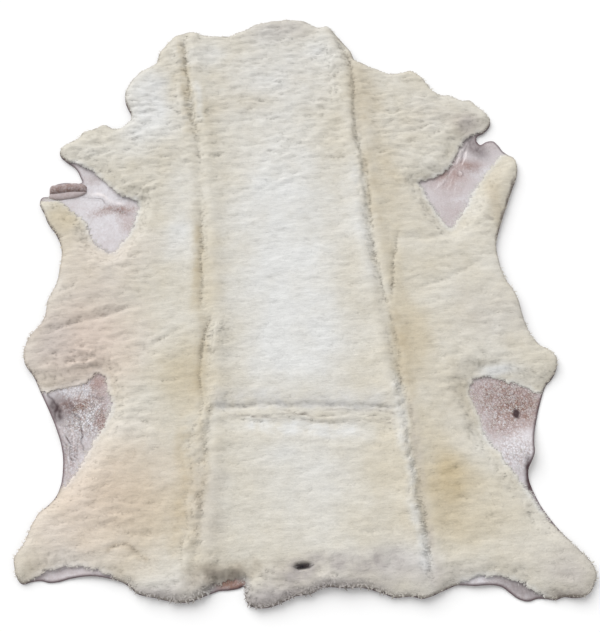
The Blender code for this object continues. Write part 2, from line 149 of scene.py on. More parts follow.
# Tints along lines, in millimetres: (points, half width, cream, tan, grey, shade).
# The shade column is mostly painted shade: in the partings and the cross fold's creases, beside the right
# ridge, at crumples, at the notch and along edges; much of the grey is painted shade too. Values below 0, on
# the ridges and below the cross fold, paint the wool whiter, a painted highlight.
LINE_TINTS = (
    (((130, 520), (158, 440), (163, 380), (159, 330), (158, 255), (162, 208)), 14, 0.1, 0.08, 0.06, 0.04),
    (((162, 206), (160, 122), (161, 45)), 12, 0.15, 0.14, 0.04, 0.03),
    (((166, -90), (168, -176), (166, -219), (172, -269)), 13, 0.25, 0.2, 0.04, 0.06),
    (((170, -255), (168, -322), (166, -368), (164, -404), (165, -455), (160, -530)),
      8, 0.1, 0.05, 0.28, 0.08),
    (((-166, 515), (-163, 450), (-158, 400), (-155, 340), (-152, 295)), 12, 0.2, 0.2, 0.02, 0.02),
    (((-146, 100), (-149, 8), (-149, -34), (-155, -71)), 9, 0.2, 0.24, 0.02, 0.04),
    (((-142, -100), (-150, -148), (-155, -190), (-156, -232)), 12, 0.18, 0.2, 0.03, 0.03),
    (((-168, -250), (-180, -300), (-176, -340), (-186, -375), (-186, -410), (-194, -440)),
      14, 0.15, 0.22, 0.02, 0.0),
    (RIGHT_RIDGE, 10, -0.4, -0.2, -0.1, -0.1),
    (LEFT_RIDGE, 10, 0.15, 0.12, 0.0, 0.0),
    (((141, 228), (139, 190), (136, 145), (135, 60), (140, -50)), 13, -0.2, -0.25, 0.0, 0.0),
    (((-140, 420), (-136, 350), (-134, 300)), 8, -0.3, -0.2, 0.0, 0.0),
    (((-150, -226), (-60, -231), (60, -242), (150, -256)), 18, -0.25, 0.0, 0.1, 0.02),
    (((-130, -238), (-60, -242), (60, -254), (140, -265)), 6, -0.2, 0.0, 0.12, 0.04),
    (((-112, -250), (-63, -260), (-25, -266), (15, -275), (55, -282), (97, -283), (140, -293)),
      1.6, 0.0, 0.0, 0.1, 0.34),
    (((-30, -255), (29, -268), (85, -269), (124, -283), (146, -287)), 1.6, 0.0, 0.0, 0.1, 0.34),
    (((40, -259), (100, -263), (145, -277)), 1.6, 0.0, 0.0, 0.1, 0.3),
    (((-100, -254), (-40, -260), (10, -262)), 1.6, 0.0, 0.0, 0.1, 0.36),
    (((-100, -266), (0, -283), (100, -300)), 14, -0.5, -0.3, 0.0, 0.0),
    (((-347, 233), (-331, 222), (-313, 203), (-300, 189), (-289, 175), (-270, 162), (-242, 157)),
      3, 0.0, 0.0, 0.1, 0.15),
    (((387, 246), (353, 238), (337, 221), (322, 198), (311, 179), (297, 167), (274, 157), (250, 150)),
      3, 0.0, 0.05, 0.12, 0.15),
    (((-176, -476), (-139, -484), (-92, -478)), 13, 0.1, 0.3, 0.1, 0.62),
    (((-60, -490), (8, -478), (72, -480), (123, -482)), 14, -0.1, 0.0, 0.55, 0.16),
    (((421, 139), (392, 82), (377, 56), (361, 11)), 2.8, 0.0, 0.0, 0.3, 0.75),
    (((350, 59), (357, 56)), 4.0, 0.0, 0.0, 0.2, 0.9),
    (((-381, -119), (-357, -127), (-338, -121)), 2.4, 0.0, 0.0, 0.1, 0.3),
    (((-318, -118), (-304, -128), (-293, -142)), 2.4, 0.0, 0.0, 0.1, 0.3),
    (((-344, -137), (-331, -133), (-309, -141)), 2.4, 0.0, 0.0, 0.1, 0.3),
    (((-352, -153), (-325, -149), (-303, -160)), 2.4, 0.0, 0.0, 0.1, 0.25),
    (((-292, -433), (-268, -428), (-248, -443), (-231, -452)), 3.5, 0.2, 0.2, 0.1, 0.2),
    (((318, -548), (345, -553), (370, -546)), 7, 0.0, 0.0, 0.3, 0.4),
)

# Places where the wool is crumpled, in millimetres: (across, along, half width, half length, height).
CRUMPLES = (
    (-345, -138, 66, 42, 3.6),
    (-316, -150, 34, 30, 2.4),
    (-370, -60, 60, 60, 1.3),
    (320, -205, 70, 30, 1.6),
    (-158, -330, 26, 120, 1.2),
    (-148, 250, 22, 60, 1.4),
    (152, -380, 18, 120, 1.2),
    (150, -240, 26, 50, 1.2),
    (-215, -118, 40, 22, 1.2),
    (-270, -420, 80, 32, 1.6),
    (20, 505, 90, 40, 1.3),
    (120, 215, 34, 30, 1.6),
    (270, 245, 80, 45, 1.3),
    (-230, 165, 50, 30, 1.4),
    (350, 40, 30, 120, 1.0),
    (-150, -480, 60, 26, 1.6),
    (0, -495, 260, 30, 2.4),
    (-70, -512, 60, 26, 1.6),
    (-230, -490, 70, 26, 1.6),
    (20, 250, 130, 55, 0.7),
)

# Tints of the wool, in millimetres: (across, along, half width, half length, cream, tan, grey).
# The grey column is partly the wool's own greyer tone and partly painted shade, as on the tail's tuft and
# edge and beside the slit.
TINTS = (
    (0, 60, 118, 330, -0.78, 0.0, 0.0),
    (20, -110, 100, 130, -0.30, 0.0, -0.1),
    (10, -165, 120, 60, -0.30, 0.0, 0.0),
    (40, -310, 90, 50, -0.16, 0.0, 0.0),
    (30, -480, 90, 40, -0.16, 0.0, 0.0),
    (125, 60, 22, 170, -0.30, 0.0, 0.0),
    (-10, -370, 90, 90, -0.42, 0.0, 0.0),
    (20, 430, 130, 120, -0.50, 0.0, 0.06),
    (30, 530, 95, 45, -0.10, 0.0, 0.42),
    (-230, 400, 52, 70, -0.70, 0.0, 0.05),
    (-55, 345, 60, 35, 0.22, 0.05, 0.08),
    (-174, 400, 20, 130, 0.0, 0.08, 0.0),
    (-225, 320, 70, 70, -0.75, -0.05, 0.0),
    (-175, 90, 34, 130, -0.55, 0.0, 0.0),
    (-130, -20, 30, 100, 0.15, 0.16, 0.0),
    (-170, -180, 60, 70, 0.20, 0.30, 0.0),
    (-120, 330, 30, 60, 0.18, 0.10, 0.0),
    (-310, 255, 80, 45, -0.35, 0.0, 0.0),
    (-380, 120, 34, 70, 0.20, 0.35, 0.0),
    (-330, -60, 110, 90, -0.1, 0.03, 0.20),
    (-390, -110, 60, 60, 0.0, 0.05, 0.45),
    (-250, -370, 110, 85, 0.20, 0.34, 0.06),
    (-370, -430, 60, 60, -0.15, 0.12, 0.0),
    (-150, -380, 32, 110, -0.10, 0.10, 0.24),
    (-260, 60, 70, 60, -0.15, 0.0, 0.05),
    (178, 330, 34, 120, 0.14, 0.20, 0.08),
    (190, 150, 34, 110, 0.24, 0.30, 0.05),
    (176, -10, 24, 90, 0.20, 0.20, 0.0),
    (185, -160, 38, 90, 0.22, 0.34, 0.05),
    (300, 285, 80, 50, -0.2, 0.10, 0.10),
    (250, 330, 60, 40, -0.15, 0.0, 0.0),
    (380, 110, 30, 90, 0.10, 0.20, 0.05),
    (262, 90, 60, 80, -0.05, 0.05, 0.05),
    (320, -120, 90, 70, -0.15, 0.04, 0.22),
    (210, -378, 44, 44, 0.40, 0.55, 0.0),
    (190, -345, 50, 70, 0.20, 0.22, 0.0),
    (196, -425, 40, 40, 0.20, 0.26, 0.0),
    (215, -440, 90, 55, 0.10, 0.16, 0.0),
    (330, -500, 80, 50, 0.0, 0.10, 0.12),
    (250, -260, 60, 60, 0.05, 0.10, 0.08),
    (120, -330, 40, 80, 0.20, 0.08, 0.0),
    (110, -440, 50, 40, 0.16, 0.08, 0.0),
    (-90, -290, 60, 60, 0.0, 0.0, 0.0),
    (-135, -484, 50, 20, 0.20, 0.10, 0.35),
    (-30, -484, 55, 22, 0.10, 0.05, 0.30),
    (90, -498, 90, 26, 0.0, 0.0, 0.45),
    (130, -480, 50, 40, -0.5, 0.0, 0.15),
    (312, -217, 34, 14, -0.9, 0.0, 0.0),
    (-72, -516, 54, 22, -0.1, 0.0, 0.85),
    (-230, -500, 80, 14, 0.0, 0.0, 0.45),
    (170, -512, 80, 14, 0.0, 0.0, 0.30),
    (-40, -318, 34, 22, -0.25, 0.0, 0.0),
    (-200, -490, 60, 26, -0.3, 0.0, 0.2),
    (349, -526, 40, 34, -0.15, 0.05, 0.50),
    (0, -512, 70, 24, 0.0, 0.05, 0.5),
    (-330, -440, 60, 22, -0.35, 0.0, 0.0),
    (358, 262, 38, 28, 0.1, 0.25, 0.70),
    (-112, 467, 40, 40, -0.5, 0.0, -0.1),
    (-165, 475, 36, 50, -0.35, 0.0, 0.0),
    (115, 475, 45, 45, -0.3, 0.0, -0.1),
    (185, 470, 30, 40, -0.3, -0.05, 0.0),
    (371, 89, 16, 60, 0.15, 0.15, 0.15),
)
PLAIN_CREAM = 0.80  # of the wool away from any tint

# Places where the wool is rosy, in millimetres: (across, along, half width, half length, share).
ROSY_PLACES = (
    (-340, -115, 115, 110, 0.56),
    (-320, 40, 110, 80, 0.22),
    (-320, -360, 150, 130, 0.36),
)

# Bare leather, in millimetres: (across, along, half width, half length, pink, brown, white, grain).
SKIN_TINTS = (
    (-310, 130, 90, 90, 0.05, 0.0, 0.50, 0.0),
    (-320, 190, 50, 40, 0.0, 0.0, 0.22, 0.0),
    (-289, 138, 46, 14, 0.50, 0.50, -0.5, 0.30),
    (-271, 112, 26, 22, 0.40, 0.10, -0.3, 0.1),
    (-330, 206, 20, 16, 0.0, 0.10, -0.3, 0.1),
    (305, 160, 45, 45, 0.65, 0.35, -0.3, 0.15),
    (297, 80, 36, 40, 0.12, 0.14, -0.20, 0.1),
    (372, 222, 40, 30, 0.10, 0.10, -0.5, 0.15),
    (353, 174, 26, 18, 0.60, 0.35, -0.3, 0.15),
    (368, 160, 60, 14, 0.0, 0.0, 0.45, 0.0),
    (330, 105, 40, 14, 0.0, 0.0, 0.35, 0.0),
    (-308, -180, 26, 30, 0.85, 0.45, -0.6, 0.2),
    (-342, -186, 40, 16, 0.05, 0.10, 0.45, 0.45),
    (-345, -214, 30, 20, 0.35, 0.80, -0.4, 0.5),
    (-322, -232, 40, 38, 0.0, 0.10, 0.30, 1.1),
    (-350, -290, 30, 60, 0.20, 0.15, 0.25, 0.3),
    (-302, -250, 12, 40, 0.8, 0.55, -0.6, 0.1),
    (310, -255, 66, 36, 0.55, 0.65, -0.25, 0.75),
    (347, -282, 34, 30, 0.40, 0.70, -0.3, 0.45),
    (305, -298, 40, 30, 0.50, 0.50, 0.0, 0.5),
    (314, -352, 30, 34, 0.0, 0.0, 0.32, 0.45),
    (320, -400, 24, 40, 0.0, 0.0, 0.20, 0.0),
    (331, -322, 16, 14, 0.0, 0.0, 0.3, 0.0),
    (-340, -458, 60, 20, 0.25, 0.05, 0.25, 0.0),
    (262, -530, 60, 24, 0.0, 0.10, 0.0, 0.1),
    (222, -520, 30, 16, 0.0, 0.0, 0.45, 0.0),
    (-118, -494, 34, 16, 0.9, 1.1, -0.8, 0.3),
)

# Creases of the bare leather, in millimetres: (points, half width, darkness). Below 0 they are pale.
# The dark creases are sunk into the leather and painted dark, partly as painted shade in them; the pale ones
# are raised and painted paler.
SKIN_LINES = (
    (((-346, -228), (-340, -235), (-336, -245), (-333, -258), (-332, -272), (-328, -288)), 1.3, 0.75),
    (((-341, -226), (-335, -234), (-331, -246), (-328, -260)), 1.6, -0.5),
    (((-350, -244), (-345, -262), (-343, -284)), 1.1, -0.4),
    (((-372, -240), (-362, -245), (-348, -247)), 1.2, 0.7),
    (((-372, -247), (-361, -254)), 1.1, 0.6),
    (((-356, -261), (-351, -272), (-349, -298)), 1.1, 0.5),
    (((-342, -277), (-343, -300)), 1.0, 0.4),
    (((-360, -262), (-357, -278), (-358, -296)), 1.0, 0.4),
    (((-346, -262), (-346, -290), (-349, -312)), 0.9, 0.35),
    (((-337, -268), (-339, -296)), 1.0, 0.35),
    (((-355, -283), (-355, -312)), 1.0, 0.3),
    (((-362, -285), (-361, -318)), 1.0, 0.25),
    (((-325, -222), (-318, -236), (-320, -250)), 1.0, 0.3),
    (((-350, -198), (-338, -192), (-322, -196)), 1.2, 0.3),
    (((-339, -198), (-322, -201), (-299, -209)), 2.2, 0.4),
    (((-356, -205), (-352, -214), (-347, -217)), 3.0, 0.55),
    (((-392, -192), (-380, -206), (-377, -226), (-372, -239)), 1.8, 0.8),
    (((-349, 172), (-332, 168), (-321, 165), (-309, 159), (-305, 150)), 1.3, 0.45),
    (((-349, 166), (-330, 163), (-316, 158)), 1.2, 0.2),
    (((-343, 178), (-316, 171), (-296, 160), (-278, 150)), 3.0, -0.5),
    (((-312, 146), (-289, 138), (-262, 127)), 4.0, 0.25),
    (((-311, 158), (-297, 150), (-280, 146)), 1.4, 0.3),
    (((-338, 228), (-326, 212), (-318, 196)), 7.0, 0.1),
    (((356, 234), (343, 216), (332, 200), (321, 178)), 1.0, -0.55),
    (((359, 228), (348, 208), (338, 190), (331, 176)), 1.0, -0.55),
    (((354, 226), (345, 206), (340, 186)), 0.9, -0.5),
    (((345, 222), (331, 202), (318, 180), (306, 166)), 1.0, -0.4),
    (((318, 172), (303, 156), (290, 142), (280, 132)), 1.1, -0.45),
    (((312, 156), (305, 142), (299, 126)), 1.0, -0.4),
    (((296, 152), (284, 140), (276, 128)), 1.1, -0.4),
    (((316, 148), (314, 134), (308, 120)), 1.0, -0.3),
    (((326, 166), (332, 159), (325, 153), (318, 157), (322, 165)), 1.3, 0.35),
    (((322, 163), (328, 160), (325, 156)), 2.2, -0.4),
    (((350, 224), (338, 200), (328, 180)), 1.2, 0.35),
    (((308, 166), (300, 152), (290, 136)), 1.3, 0.35),
    (((372, 213), (359, 203)), 2.0, 0.45),
    (((368, 228), (377, 222)), 3.0, 0.45),
    (((262, 138), (260, 134)), 1.8, 0.6),
    (((260, 127), (261, 121)), 1.8, 0.6),
    (((267, 93), (268, 88)), 1.8, 0.4),
)

# Bare places: (millimetres over which the wool thins, steepness at their neck side, points round them).
BARE_EDGES = (
    (34, 0.25, ((-414, -187), (-395, -188), (-373, -184), (-353, -181), (-336, -179), (-325, -173),
     (-318, -164), (-308, -163), (-300, -174), (-297, -192), (-292, -207), (-291, -225), (-297, -241),
     (-301, -253), (-310, -264), (-317, -275), (-324, -289), (-332, -303), (-339, -314), (-346, -326),
     (-360, -337), (-405, -329))),
    (38, 0.35, ((408, -263), (370, -260), (353, -248), (329, -239), (307, -230), (284, -225),
     (267, -237), (264, -252), (267, -270), (271, -288), (273, -311), (280, -331), (289, -344),
     (295, -362), (305, -378), (316, -399), (327, -419), (335, -436), (364, -438))),
    (32, 0.8, ((-380, 240), (-364, 243), (-347, 232), (-331, 221), (-313, 202), (-300, 188), (-289, 174),
     (-276, 163), (-255, 155), (-250, 142), (-253, 130), (-255, 114), (-259, 101), (-264, 89),
     (-275, 74), (-286, 60), (-296, 51), (-322, 70), (-334, 92), (-339, 113), (-347, 124), (-365, 140),
     (-379, 157), (-396, 170), (-404, 176), (-431, 182), (-412, 209))),
    (34, 0.8, ((404, 241), (388, 240), (372, 241), (352, 233), (337, 216), (322, 193), (311, 174),
     (296, 162), (273, 152), (250, 146), (255, 131), (256, 117), (261, 103), (266, 88), (273, 72),
     (280, 56), (287, 46), (296, 52), (310, 74), (325, 90), (339, 115), (357, 138), (373, 154),
     (389, 171), (405, 190), (416, 196), (424, 226))),
    (30, 0.7, ((-392, -462), (-378, -454), (-367, -452), (-343, -450), (-318, -454), (-296, -463),
     (-282, -473), (-282, -488), (-391, -478))),
    (30, 0.7, ((198, -523), (221, -517), (242, -517), (262, -521), (282, -530), (300, -543), (312, -552),
     (310, -562), (194, -543))),
    (12, 0.15, ((-147, -495), (-127, -488), (-102, -489), (-101, -497), (-105, -506), (-148, -505))),
)

SLIT_PLACE = (-18, -480)
SLIT_SIZE = (22, 7)
SLIT_CLOSED = (0.6, 0.03)  # shares of the slit that its lips leave open

# The left hind leg's hollow, in millimetres: (across, along, half width, half length, lean in degrees).
HOLLOW = (-375, -219, 11, 26, -29)

# Dark places of the bare skin: the same five values as the hollow's, and the darkness.
# The rows at (327, -386) and (288, -540) are painted shadow, under the right hind leg's lifted edge and on
# the right tail strip; the last two darken the top of the right foreleg's bare skin, below its wool.
SKIN_SHADES = (
    (*HOLLOW, 0.84),
    (-367, -215, 21, 31, -29, 0.42),
    (329, -289, 6, 8.5, 15, 1.2),
    (327, -386, 8, 30, 4, 1.1),
    (288, -540, 12, 44, 112, 0.42),
    (364, 213, 18, 32, -30, 0.52),
    (352, 174, 24, 16, -60, 0.12),
)

# The rolled flap's far edge, groove and near edge, in millimetres, and its two heights.
FLAP_TOP = ((-408, 195), (-402, 199), (-371, 201), (-350, 198), (-342, 193))
FLAP_GROOVE = ((-409, 182), (-384, 183), (-368, 184), (-342, 181))
FLAP_BOTTOM = ((-407, 174), (-397, 170), (-384, 169), (-357, 172), (-342, 179))
FLAP_ROLL = 6.4
FLAP_BAND = 3.4


def srgb(red, green, blue):
    """A picture colour, 0 to 255 each, as the linear colour that a shader takes."""
    shares = (value / 255 for value in (red, green, blue))
    return tuple(s / 12.92 if s <= 0.04045 else ((s + 0.055) / 1.055) ** 2.4 for s in shares) + (1.0,)


# Lines and fields


def next_points(line, closed):
    return np.roll(line, -1, axis=0) if closed else line[1:]


def distance(points, line, closed=False):
    """How far each point is from the line, and the nearest place on it."""
    starts = line if closed else line[:-1]
    ways = next_points(line, closed) - starts
    best = np.full(len(points), np.inf)
    nearest = np.zeros((len(points), 2))
    for start, way in zip(starts, ways):
        reach = points - start
        share = np.clip(reach @ way / max(way @ way, 1e-12), 0, 1)
        gaps = reach - share[:, None] * way
        gap = np.hypot(gaps[:, 0], gaps[:, 1])
        closer = gap < best
        best[closer] = gap[closer]
        nearest[closer] = points[closer] - gaps[closer]
    return best, nearest


def inside(points, loop):
    found = np.zeros(len(points), bool)
    for (x0, y0), (x1, y1) in zip(loop, next_points(loop, True)):
        if y0 != y1:
            spans = (y0 > points[:, 1]) != (y1 > points[:, 1])
            crossing = x0 + (points[:, 1] - y0) * (x1 - x0) / (y1 - y0)
            found ^= spans & (points[:, 0] < crossing)
    return found


def smooth_line(points, step, closed):
    """The line rounded through its points and cut at even steps."""
    before = np.roll(points, 1, axis=0) if closed else np.vstack([points[:1], points[:-1]])
    after = np.roll(points, -1, axis=0) if closed else np.vstack([points[1:], points[-1:]])
    beyond = np.roll(points, -2, axis=0) if closed else np.vstack([points[2:], points[-1:], points[-1:]])
    dense = []
    for share in np.linspace(0, 1, 8, endpoint=False):
        square = share * share
        cube = square * share
        dense.append(
            (2 * points + share * (after - before) + square * (2 * before - 5 * points + 4 * after - beyond)
             + cube * (3 * points - before - 3 * after + beyond)) / 2
        )
    dense = np.stack(dense, axis=1)
    dense = dense.reshape(-1, 2) if closed else np.vstack([dense[:-1].reshape(-1, 2), points[-1:]])
    if closed:
        dense = np.vstack([dense, dense[:1]])
    run = np.append(0, np.cumsum(np.hypot(*np.diff(dense, axis=0).T)))
    places = np.linspace(0, run[-1], max(2, round(run[-1] / step)) + 1)
    even = np.column_stack([np.interp(places, run, dense[:, axis]) for axis in (0, 1)])
    return even[:-1] if closed else even


def edge_out(outline, far):
    """The outline moved outwards by that far."""
    ways = np.roll(outline, -1, axis=0) - np.roll(outline, 1, axis=0)
    out = np.column_stack([ways[:, 1], -ways[:, 0]]) / np.hypot(*ways.T)[:, None]
    if inside(outline + 0.3 * MM * out, outline).mean() > 0.5:
        out = -out
    return outline + far * out, out


def bell(gap, reach):
    return (1 + np.cos(math.pi * np.clip(gap / reach, 0, 1))) / 2


def soft_step(value, low, high):
    share = np.clip((value - low) / (high - low), 0, 1)
    return share * share * (3 - 2 * share)


def clouds(points, across, along, seed):
    """Smooth random swells, about -1 to 1, of that size across and along the pelt."""
    size = 256
    angles = np.random.default_rng(seed).uniform(0, 2 * math.pi, (size, size))
    u = points[:, 0] / across + 57.3
    v = points[:, 1] / along + 31.7
    low_u = np.floor(u).astype(int)
    low_v = np.floor(v).astype(int)
    part_u = u - low_u
    part_v = v - low_v
    ease_u = part_u ** 3 * (part_u * (part_u * 6 - 15) + 10)
    ease_v = part_v ** 3 * (part_v * (part_v * 6 - 15) + 10)

    def corner(step_u, step_v):
        angle = angles[(low_u + step_u) % size, (low_v + step_v) % size]
        return np.cos(angle) * (part_u - step_u) + np.sin(angle) * (part_v - step_v)

    near = corner(0, 0) * (1 - ease_u) + corner(1, 0) * ease_u
    far = corner(0, 1) * (1 - ease_u) + corner(1, 1) * ease_u
    return 1.5 * (near * (1 - ease_v) + far * ease_v)


def wandering(points, size, seed, far):
    """The points moved by swells of that size, by about that far."""
    swells = [clouds(points, size, size, seed), clouds(points, size, size, seed + 1)]
    return points + far * np.column_stack(swells)


def spots(points, table, columns):
    """The sum of soft round spots, one total for each of the table's last columns."""
    totals = np.zeros((len(points), columns))
    wavy = wandering(points, 38 * MM, 90, 9 * MM)
    for across, along, half_width, half_length, *values in table:
        away = np.hypot((wavy[:, 0] / MM - across) / half_width, (wavy[:, 1] / MM - along) / half_length)
        totals += bell(away, 1.35)[:, None] * np.array(values)
    return totals


def line_tints(points, table, columns):
    """The sum of soft lines of tint from a table of (points, half width, tints)."""
    totals = np.zeros((len(points), columns))
    wavy = wandering(points, 16 * MM, 95, 2.5 * MM)
    wavy = wandering(wavy, 50 * MM, 97, 4 * MM)
    patchy = 0.9 + 0.9 * clouds(points, 22 * MM, 30 * MM, 98) + 0.5 * clouds(points, 7 * MM, 7 * MM, 99)
    patchy = np.clip(patchy, 0, 1.7)
    for marks, half_width, *values in table:
        line = smooth_line(np.array(marks, float) * MM, 6 * MM, False)
        reach = 1.6 * half_width * MM
        boxed = (wavy > line.min(axis=0) - reach) & (wavy < line.max(axis=0) + reach)
        near = np.flatnonzero(np.all(boxed, axis=1))
        gap, _ = distance(wavy[near], line)
        ends = np.minimum(np.hypot(*(wavy[near] - line[0]).T), np.hypot(*(wavy[near] - line[-1]).T))
        amount = bell(gap, reach) * (0.25 + 0.75 * soft_step(ends, 0, 2.2 * half_width * MM)) * patchy[near]
        totals[near] += amount[:, None] * np.array(values)
    return totals


class Field:
    """Values on the fleece's grid, read anywhere on the pelt."""

    def __init__(self, low, values):
        self.low = low
        self.values = values

    def at(self, points):
        places = (points - self.low) / CELL
        tops = np.array(self.values.shape)[::-1] - 1.001
        places = np.clip(places, 0, tops)
        column, row = places.astype(int).T
        right, up = (places - places.astype(int)).T
        grid = self.values
        near = grid[row, column] * (1 - right) + grid[row, column + 1] * right
        far = grid[row + 1, column] * (1 - right) + grid[row + 1, column + 1] * right
        return near * (1 - up) + far * up


def blurred(values, known, sigma):
    """The values smoothed over the known cells, and carried on past them."""
    reach = int(3 * sigma / CELL) + 1
    offsets = np.arange(-reach, reach + 1)
    weights = np.exp(-((offsets * CELL / sigma) ** 2) / 2)
    total = np.where(known, values, 0.0)
    share = known.astype(float)
    for axis in (0, 1):
        total = sum(w * np.roll(total, int(o), axis=axis) for w, o in zip(weights, offsets))
        share = sum(w * np.roll(share, int(o), axis=axis) for w, o in zip(weights, offsets))
    return total / np.maximum(share, 1e-9), share > 1e-6


# The solid's shape


def solid_shape():
    """A merged copy of the pelt's solid, with its edge and its slit as loops of points."""
    shape = bmesh.new()
    shape.from_mesh(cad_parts[NODE].data)
    bmesh.ops.remove_doubles(shape, verts=shape.verts[:], dist=0.02 * MM)
    shape.normal_update()
    rim = {}
    for edge in shape.edges:
        if len(edge.link_faces) == 2:
            flats = sorted(abs(face.normal.z) for face in edge.link_faces)
            under = min(face.normal.z for face in edge.link_faces)
            if flats[0] < 0.5 and under < -0.6:
                one, other = (vertex.index for vertex in edge.verts)
                rim.setdefault(one, []).append(other)
                rim.setdefault(other, []).append(one)
    shape.verts.ensure_lookup_table()
    loops = []
    while rim:
        first = next(iter(rim))
        loop = [first]
        while True:
            ways = [n for n in rim.pop(loop[-1]) if n in rim]
            if not ways:
                break
            loop.append(ways[0])
        loops.append(np.array([shape.verts[number].co[:2] for number in loop]))
    loops.sort(key=len, reverse=True)
    tree = BVHTree.FromBMesh(shape)
    shape.free()
    return tree, loops[0], loops[1]


def read_solid(tree, outline):
    """The grid over the pelt and the solid's underside and thickness on it."""
    low = outline.min(axis=0) - MARGIN_CELLS * CELL
    high = outline.max(axis=0) + MARGIN_CELLS * CELL
    columns, rows = np.ceil((high - low) / CELL).astype(int) + 1
    across, along = np.meshgrid(low[0] + np.arange(columns) * CELL, low[1] + np.arange(rows) * CELL)
    points = np.column_stack([across.ravel(), along.ravel()])
    within = inside(points, outline)
    floor_gap = np.zeros(len(points))
    top = np.zeros(len(points))
    known = np.zeros(len(points), bool)
    down = Vector((0, 0, -1))
    up = Vector((0, 0, 1))
    for number in np.flatnonzero(within):
        x, y = points[number]
        above = tree.ray_cast(Vector((x, y, 0.1)), down)[0]
        below = tree.ray_cast(Vector((x, y, -0.1)), up)[0]
        if above is not None and below is not None:
            top[number] = above.z
            floor_gap[number] = below.z
            known[number] = True
    shape = (rows, columns)
    known = known.reshape(shape)
    smooth_floor, _ = blurred(floor_gap.reshape(shape), known, 2 * SMOOTHING)
    smooth_thick, reached = blurred((top - floor_gap).reshape(shape), known, SMOOTHING)
    return {
        "low": low,
        "shape": shape,
        "points": points,
        "floor": Field(low, np.where(reached, smooth_floor, 0.0)),
        "thick": Field(low, np.where(reached, smooth_thick, 0.0)),
    }


# Relief of the wool and of the bare skin


def line_relief(points, table, seed):
    """The highest of soft lines from a table of (points, height, half width), uneven along their way."""
    relief = np.zeros(len(points))
    wavy = wandering(points, 14 * MM, seed, 1.8 * MM)
    wavy = wandering(wavy, 45 * MM, seed + 2, 3.0 * MM)
    strength = 1 + 0.5 * clouds(points, 24 * MM, 24 * MM, seed + 4)
    for marks, height, half_width in table:
        line = smooth_line(np.array(marks, float) * MM, 6 * MM, False)
        low = line.min(axis=0) - 4 * half_width * MM
        high = line.max(axis=0) + 4 * half_width * MM
        near = np.flatnonzero(np.all((wavy > low) & (wavy < high), axis=1))
        gap, _ = distance(wavy[near], line)
        rise = 0.7 * bell(gap, half_width * MM) + 0.3 * bell(gap, 3 * half_width * MM)
        ends = np.minimum(np.hypot(*(wavy[near] - line[0]).T), np.hypot(*(wavy[near] - line[-1]).T))
        rise *= 0.35 + 0.65 * soft_step(ends, 0, 22 * MM)
        relief[near] = np.maximum(relief[near], height * MM * rise * strength[near])
    return relief


def crimp(points):
    """The fine rows in which clipped wool lies, across the pelt."""
    wavy = wandering(points, 22 * MM, 11, 3.6 * MM)
    coarse = clouds(wavy, 34 * MM, 10 * MM, 13)
    fine = clouds(wavy, 18 * MM, 6.4 * MM, 15)
    patchy = 1 + 0.7 * clouds(points, 70 * MM, 60 * MM, 17)
    return (0.48 * coarse + 0.52 * fine) * patchy * MM


def crumples(points):
    wavy = wandering(points, 20 * MM, 21, 5 * MM)
    folds = 1 - 2 * np.abs(clouds(wavy, 24 * MM, 11 * MM, 23))
    small = clouds(wavy, 9 * MM, 7.5 * MM, 25)
    amount = spots(points, CRUMPLES, 1)[:, 0]
    return amount * (0.62 * folds + 0.38 * small) * MM


def aslant(points):
    """Lumps that lie aslant, like the locks on a ridge."""
    along = 0.73 * points[:, 0] + 0.68 * points[:, 1]
    across = 0.73 * points[:, 1] - 0.68 * points[:, 0]
    wavy = wandering(np.column_stack([along, across]), 16 * MM, 27, 3 * MM)
    return clouds(wavy, 15 * MM, 7 * MM, 29)


def wool_relief(points):
    lively = 1 + 1.3 * soft_step(points[:, 1], 0.10, 0.28) + 0.6 * soft_step(np.abs(points[:, 0]), 0.16, 0.30)
    rows = lively ** 0.8 + 0.45 * soft_step(-points[:, 0], 0.14, 0.28)
    lumps = 0.8 * clouds(points, 62 * MM, 44 * MM, 31) + 0.62 * lively * clouds(points, 24 * MM, 17 * MM, 33)
    ridges = line_relief(points, RIDGES, 41) * (1 + 0.9 * aslant(points))
    lines = ridges - line_relief(points, PARTINGS, 51)
    return lumps * MM + rows * crimp(points) + crumples(points) + lines


def graininess(points):
    """How strongly bare skin is speckled."""
    return np.clip(0.10 + spots(points, SKIN_TINTS, 4)[:, 3], 0, 1)


def skin_relief(points):
    """Wrinkles of bare leather: long folds, and a fine net of creases."""
    wavy = wandering(points, 18 * MM, 61, 4 * MM)
    long_folds = np.abs(clouds(wavy, 11 * MM, 30 * MM, 63))
    net = np.abs(clouds(wavy, 6 * MM, 7 * MM, 65))
    grooves = np.clip(line_tints(points, SKIN_LINES, 1)[:, 0], -0.8, 0.8)
    grooves = grooves + 0.9 * bell(hollow_depth(points), 1.3)
    rough = 0.3 + 0.7 * graininess(points)
    return (1.2 * rough * long_folds + 0.8 * rough * net - 0.9 * grooves) * MM


def slit_depth(points):
    """Below 1 in the slit."""
    away = (points / MM - np.array(SLIT_PLACE)) / (np.array(SLIT_SIZE) / 2)
    return np.hypot(away[:, 0], away[:, 1])


def within(points, across, along, half_width, half_length, lean):
    """Below 1 in a spot whose long way leans by that many degrees from the spine's."""
    away = points / MM - np.array((across, along))
    turn = math.radians(lean)
    long_way = away[:, 0] * math.sin(turn) + away[:, 1] * math.cos(turn)
    short_way = away[:, 0] * math.cos(turn) - away[:, 1] * math.sin(turn)
    return np.hypot(short_way / half_width, long_way / half_length)


def hollow_depth(points):
    """Below 1 in the dark hollow of the left hind leg's bare skin."""
    return within(points, *HOLLOW)


def skin_shade(points):
    """How dark the bare skin is in its hollow, at a small dark mark, and where shadow is painted on it."""
    dark = np.zeros(len(points))
    for *place, darkness in SKIN_SHADES:
        dark = np.maximum(dark, darkness * (1 - soft_step(within(points, *place), 0.35, 1.35)))
    return dark * np.clip(1 + 0.35 * clouds(points, 5 * MM, 7 * MM, 67), 0.5, 1.2)


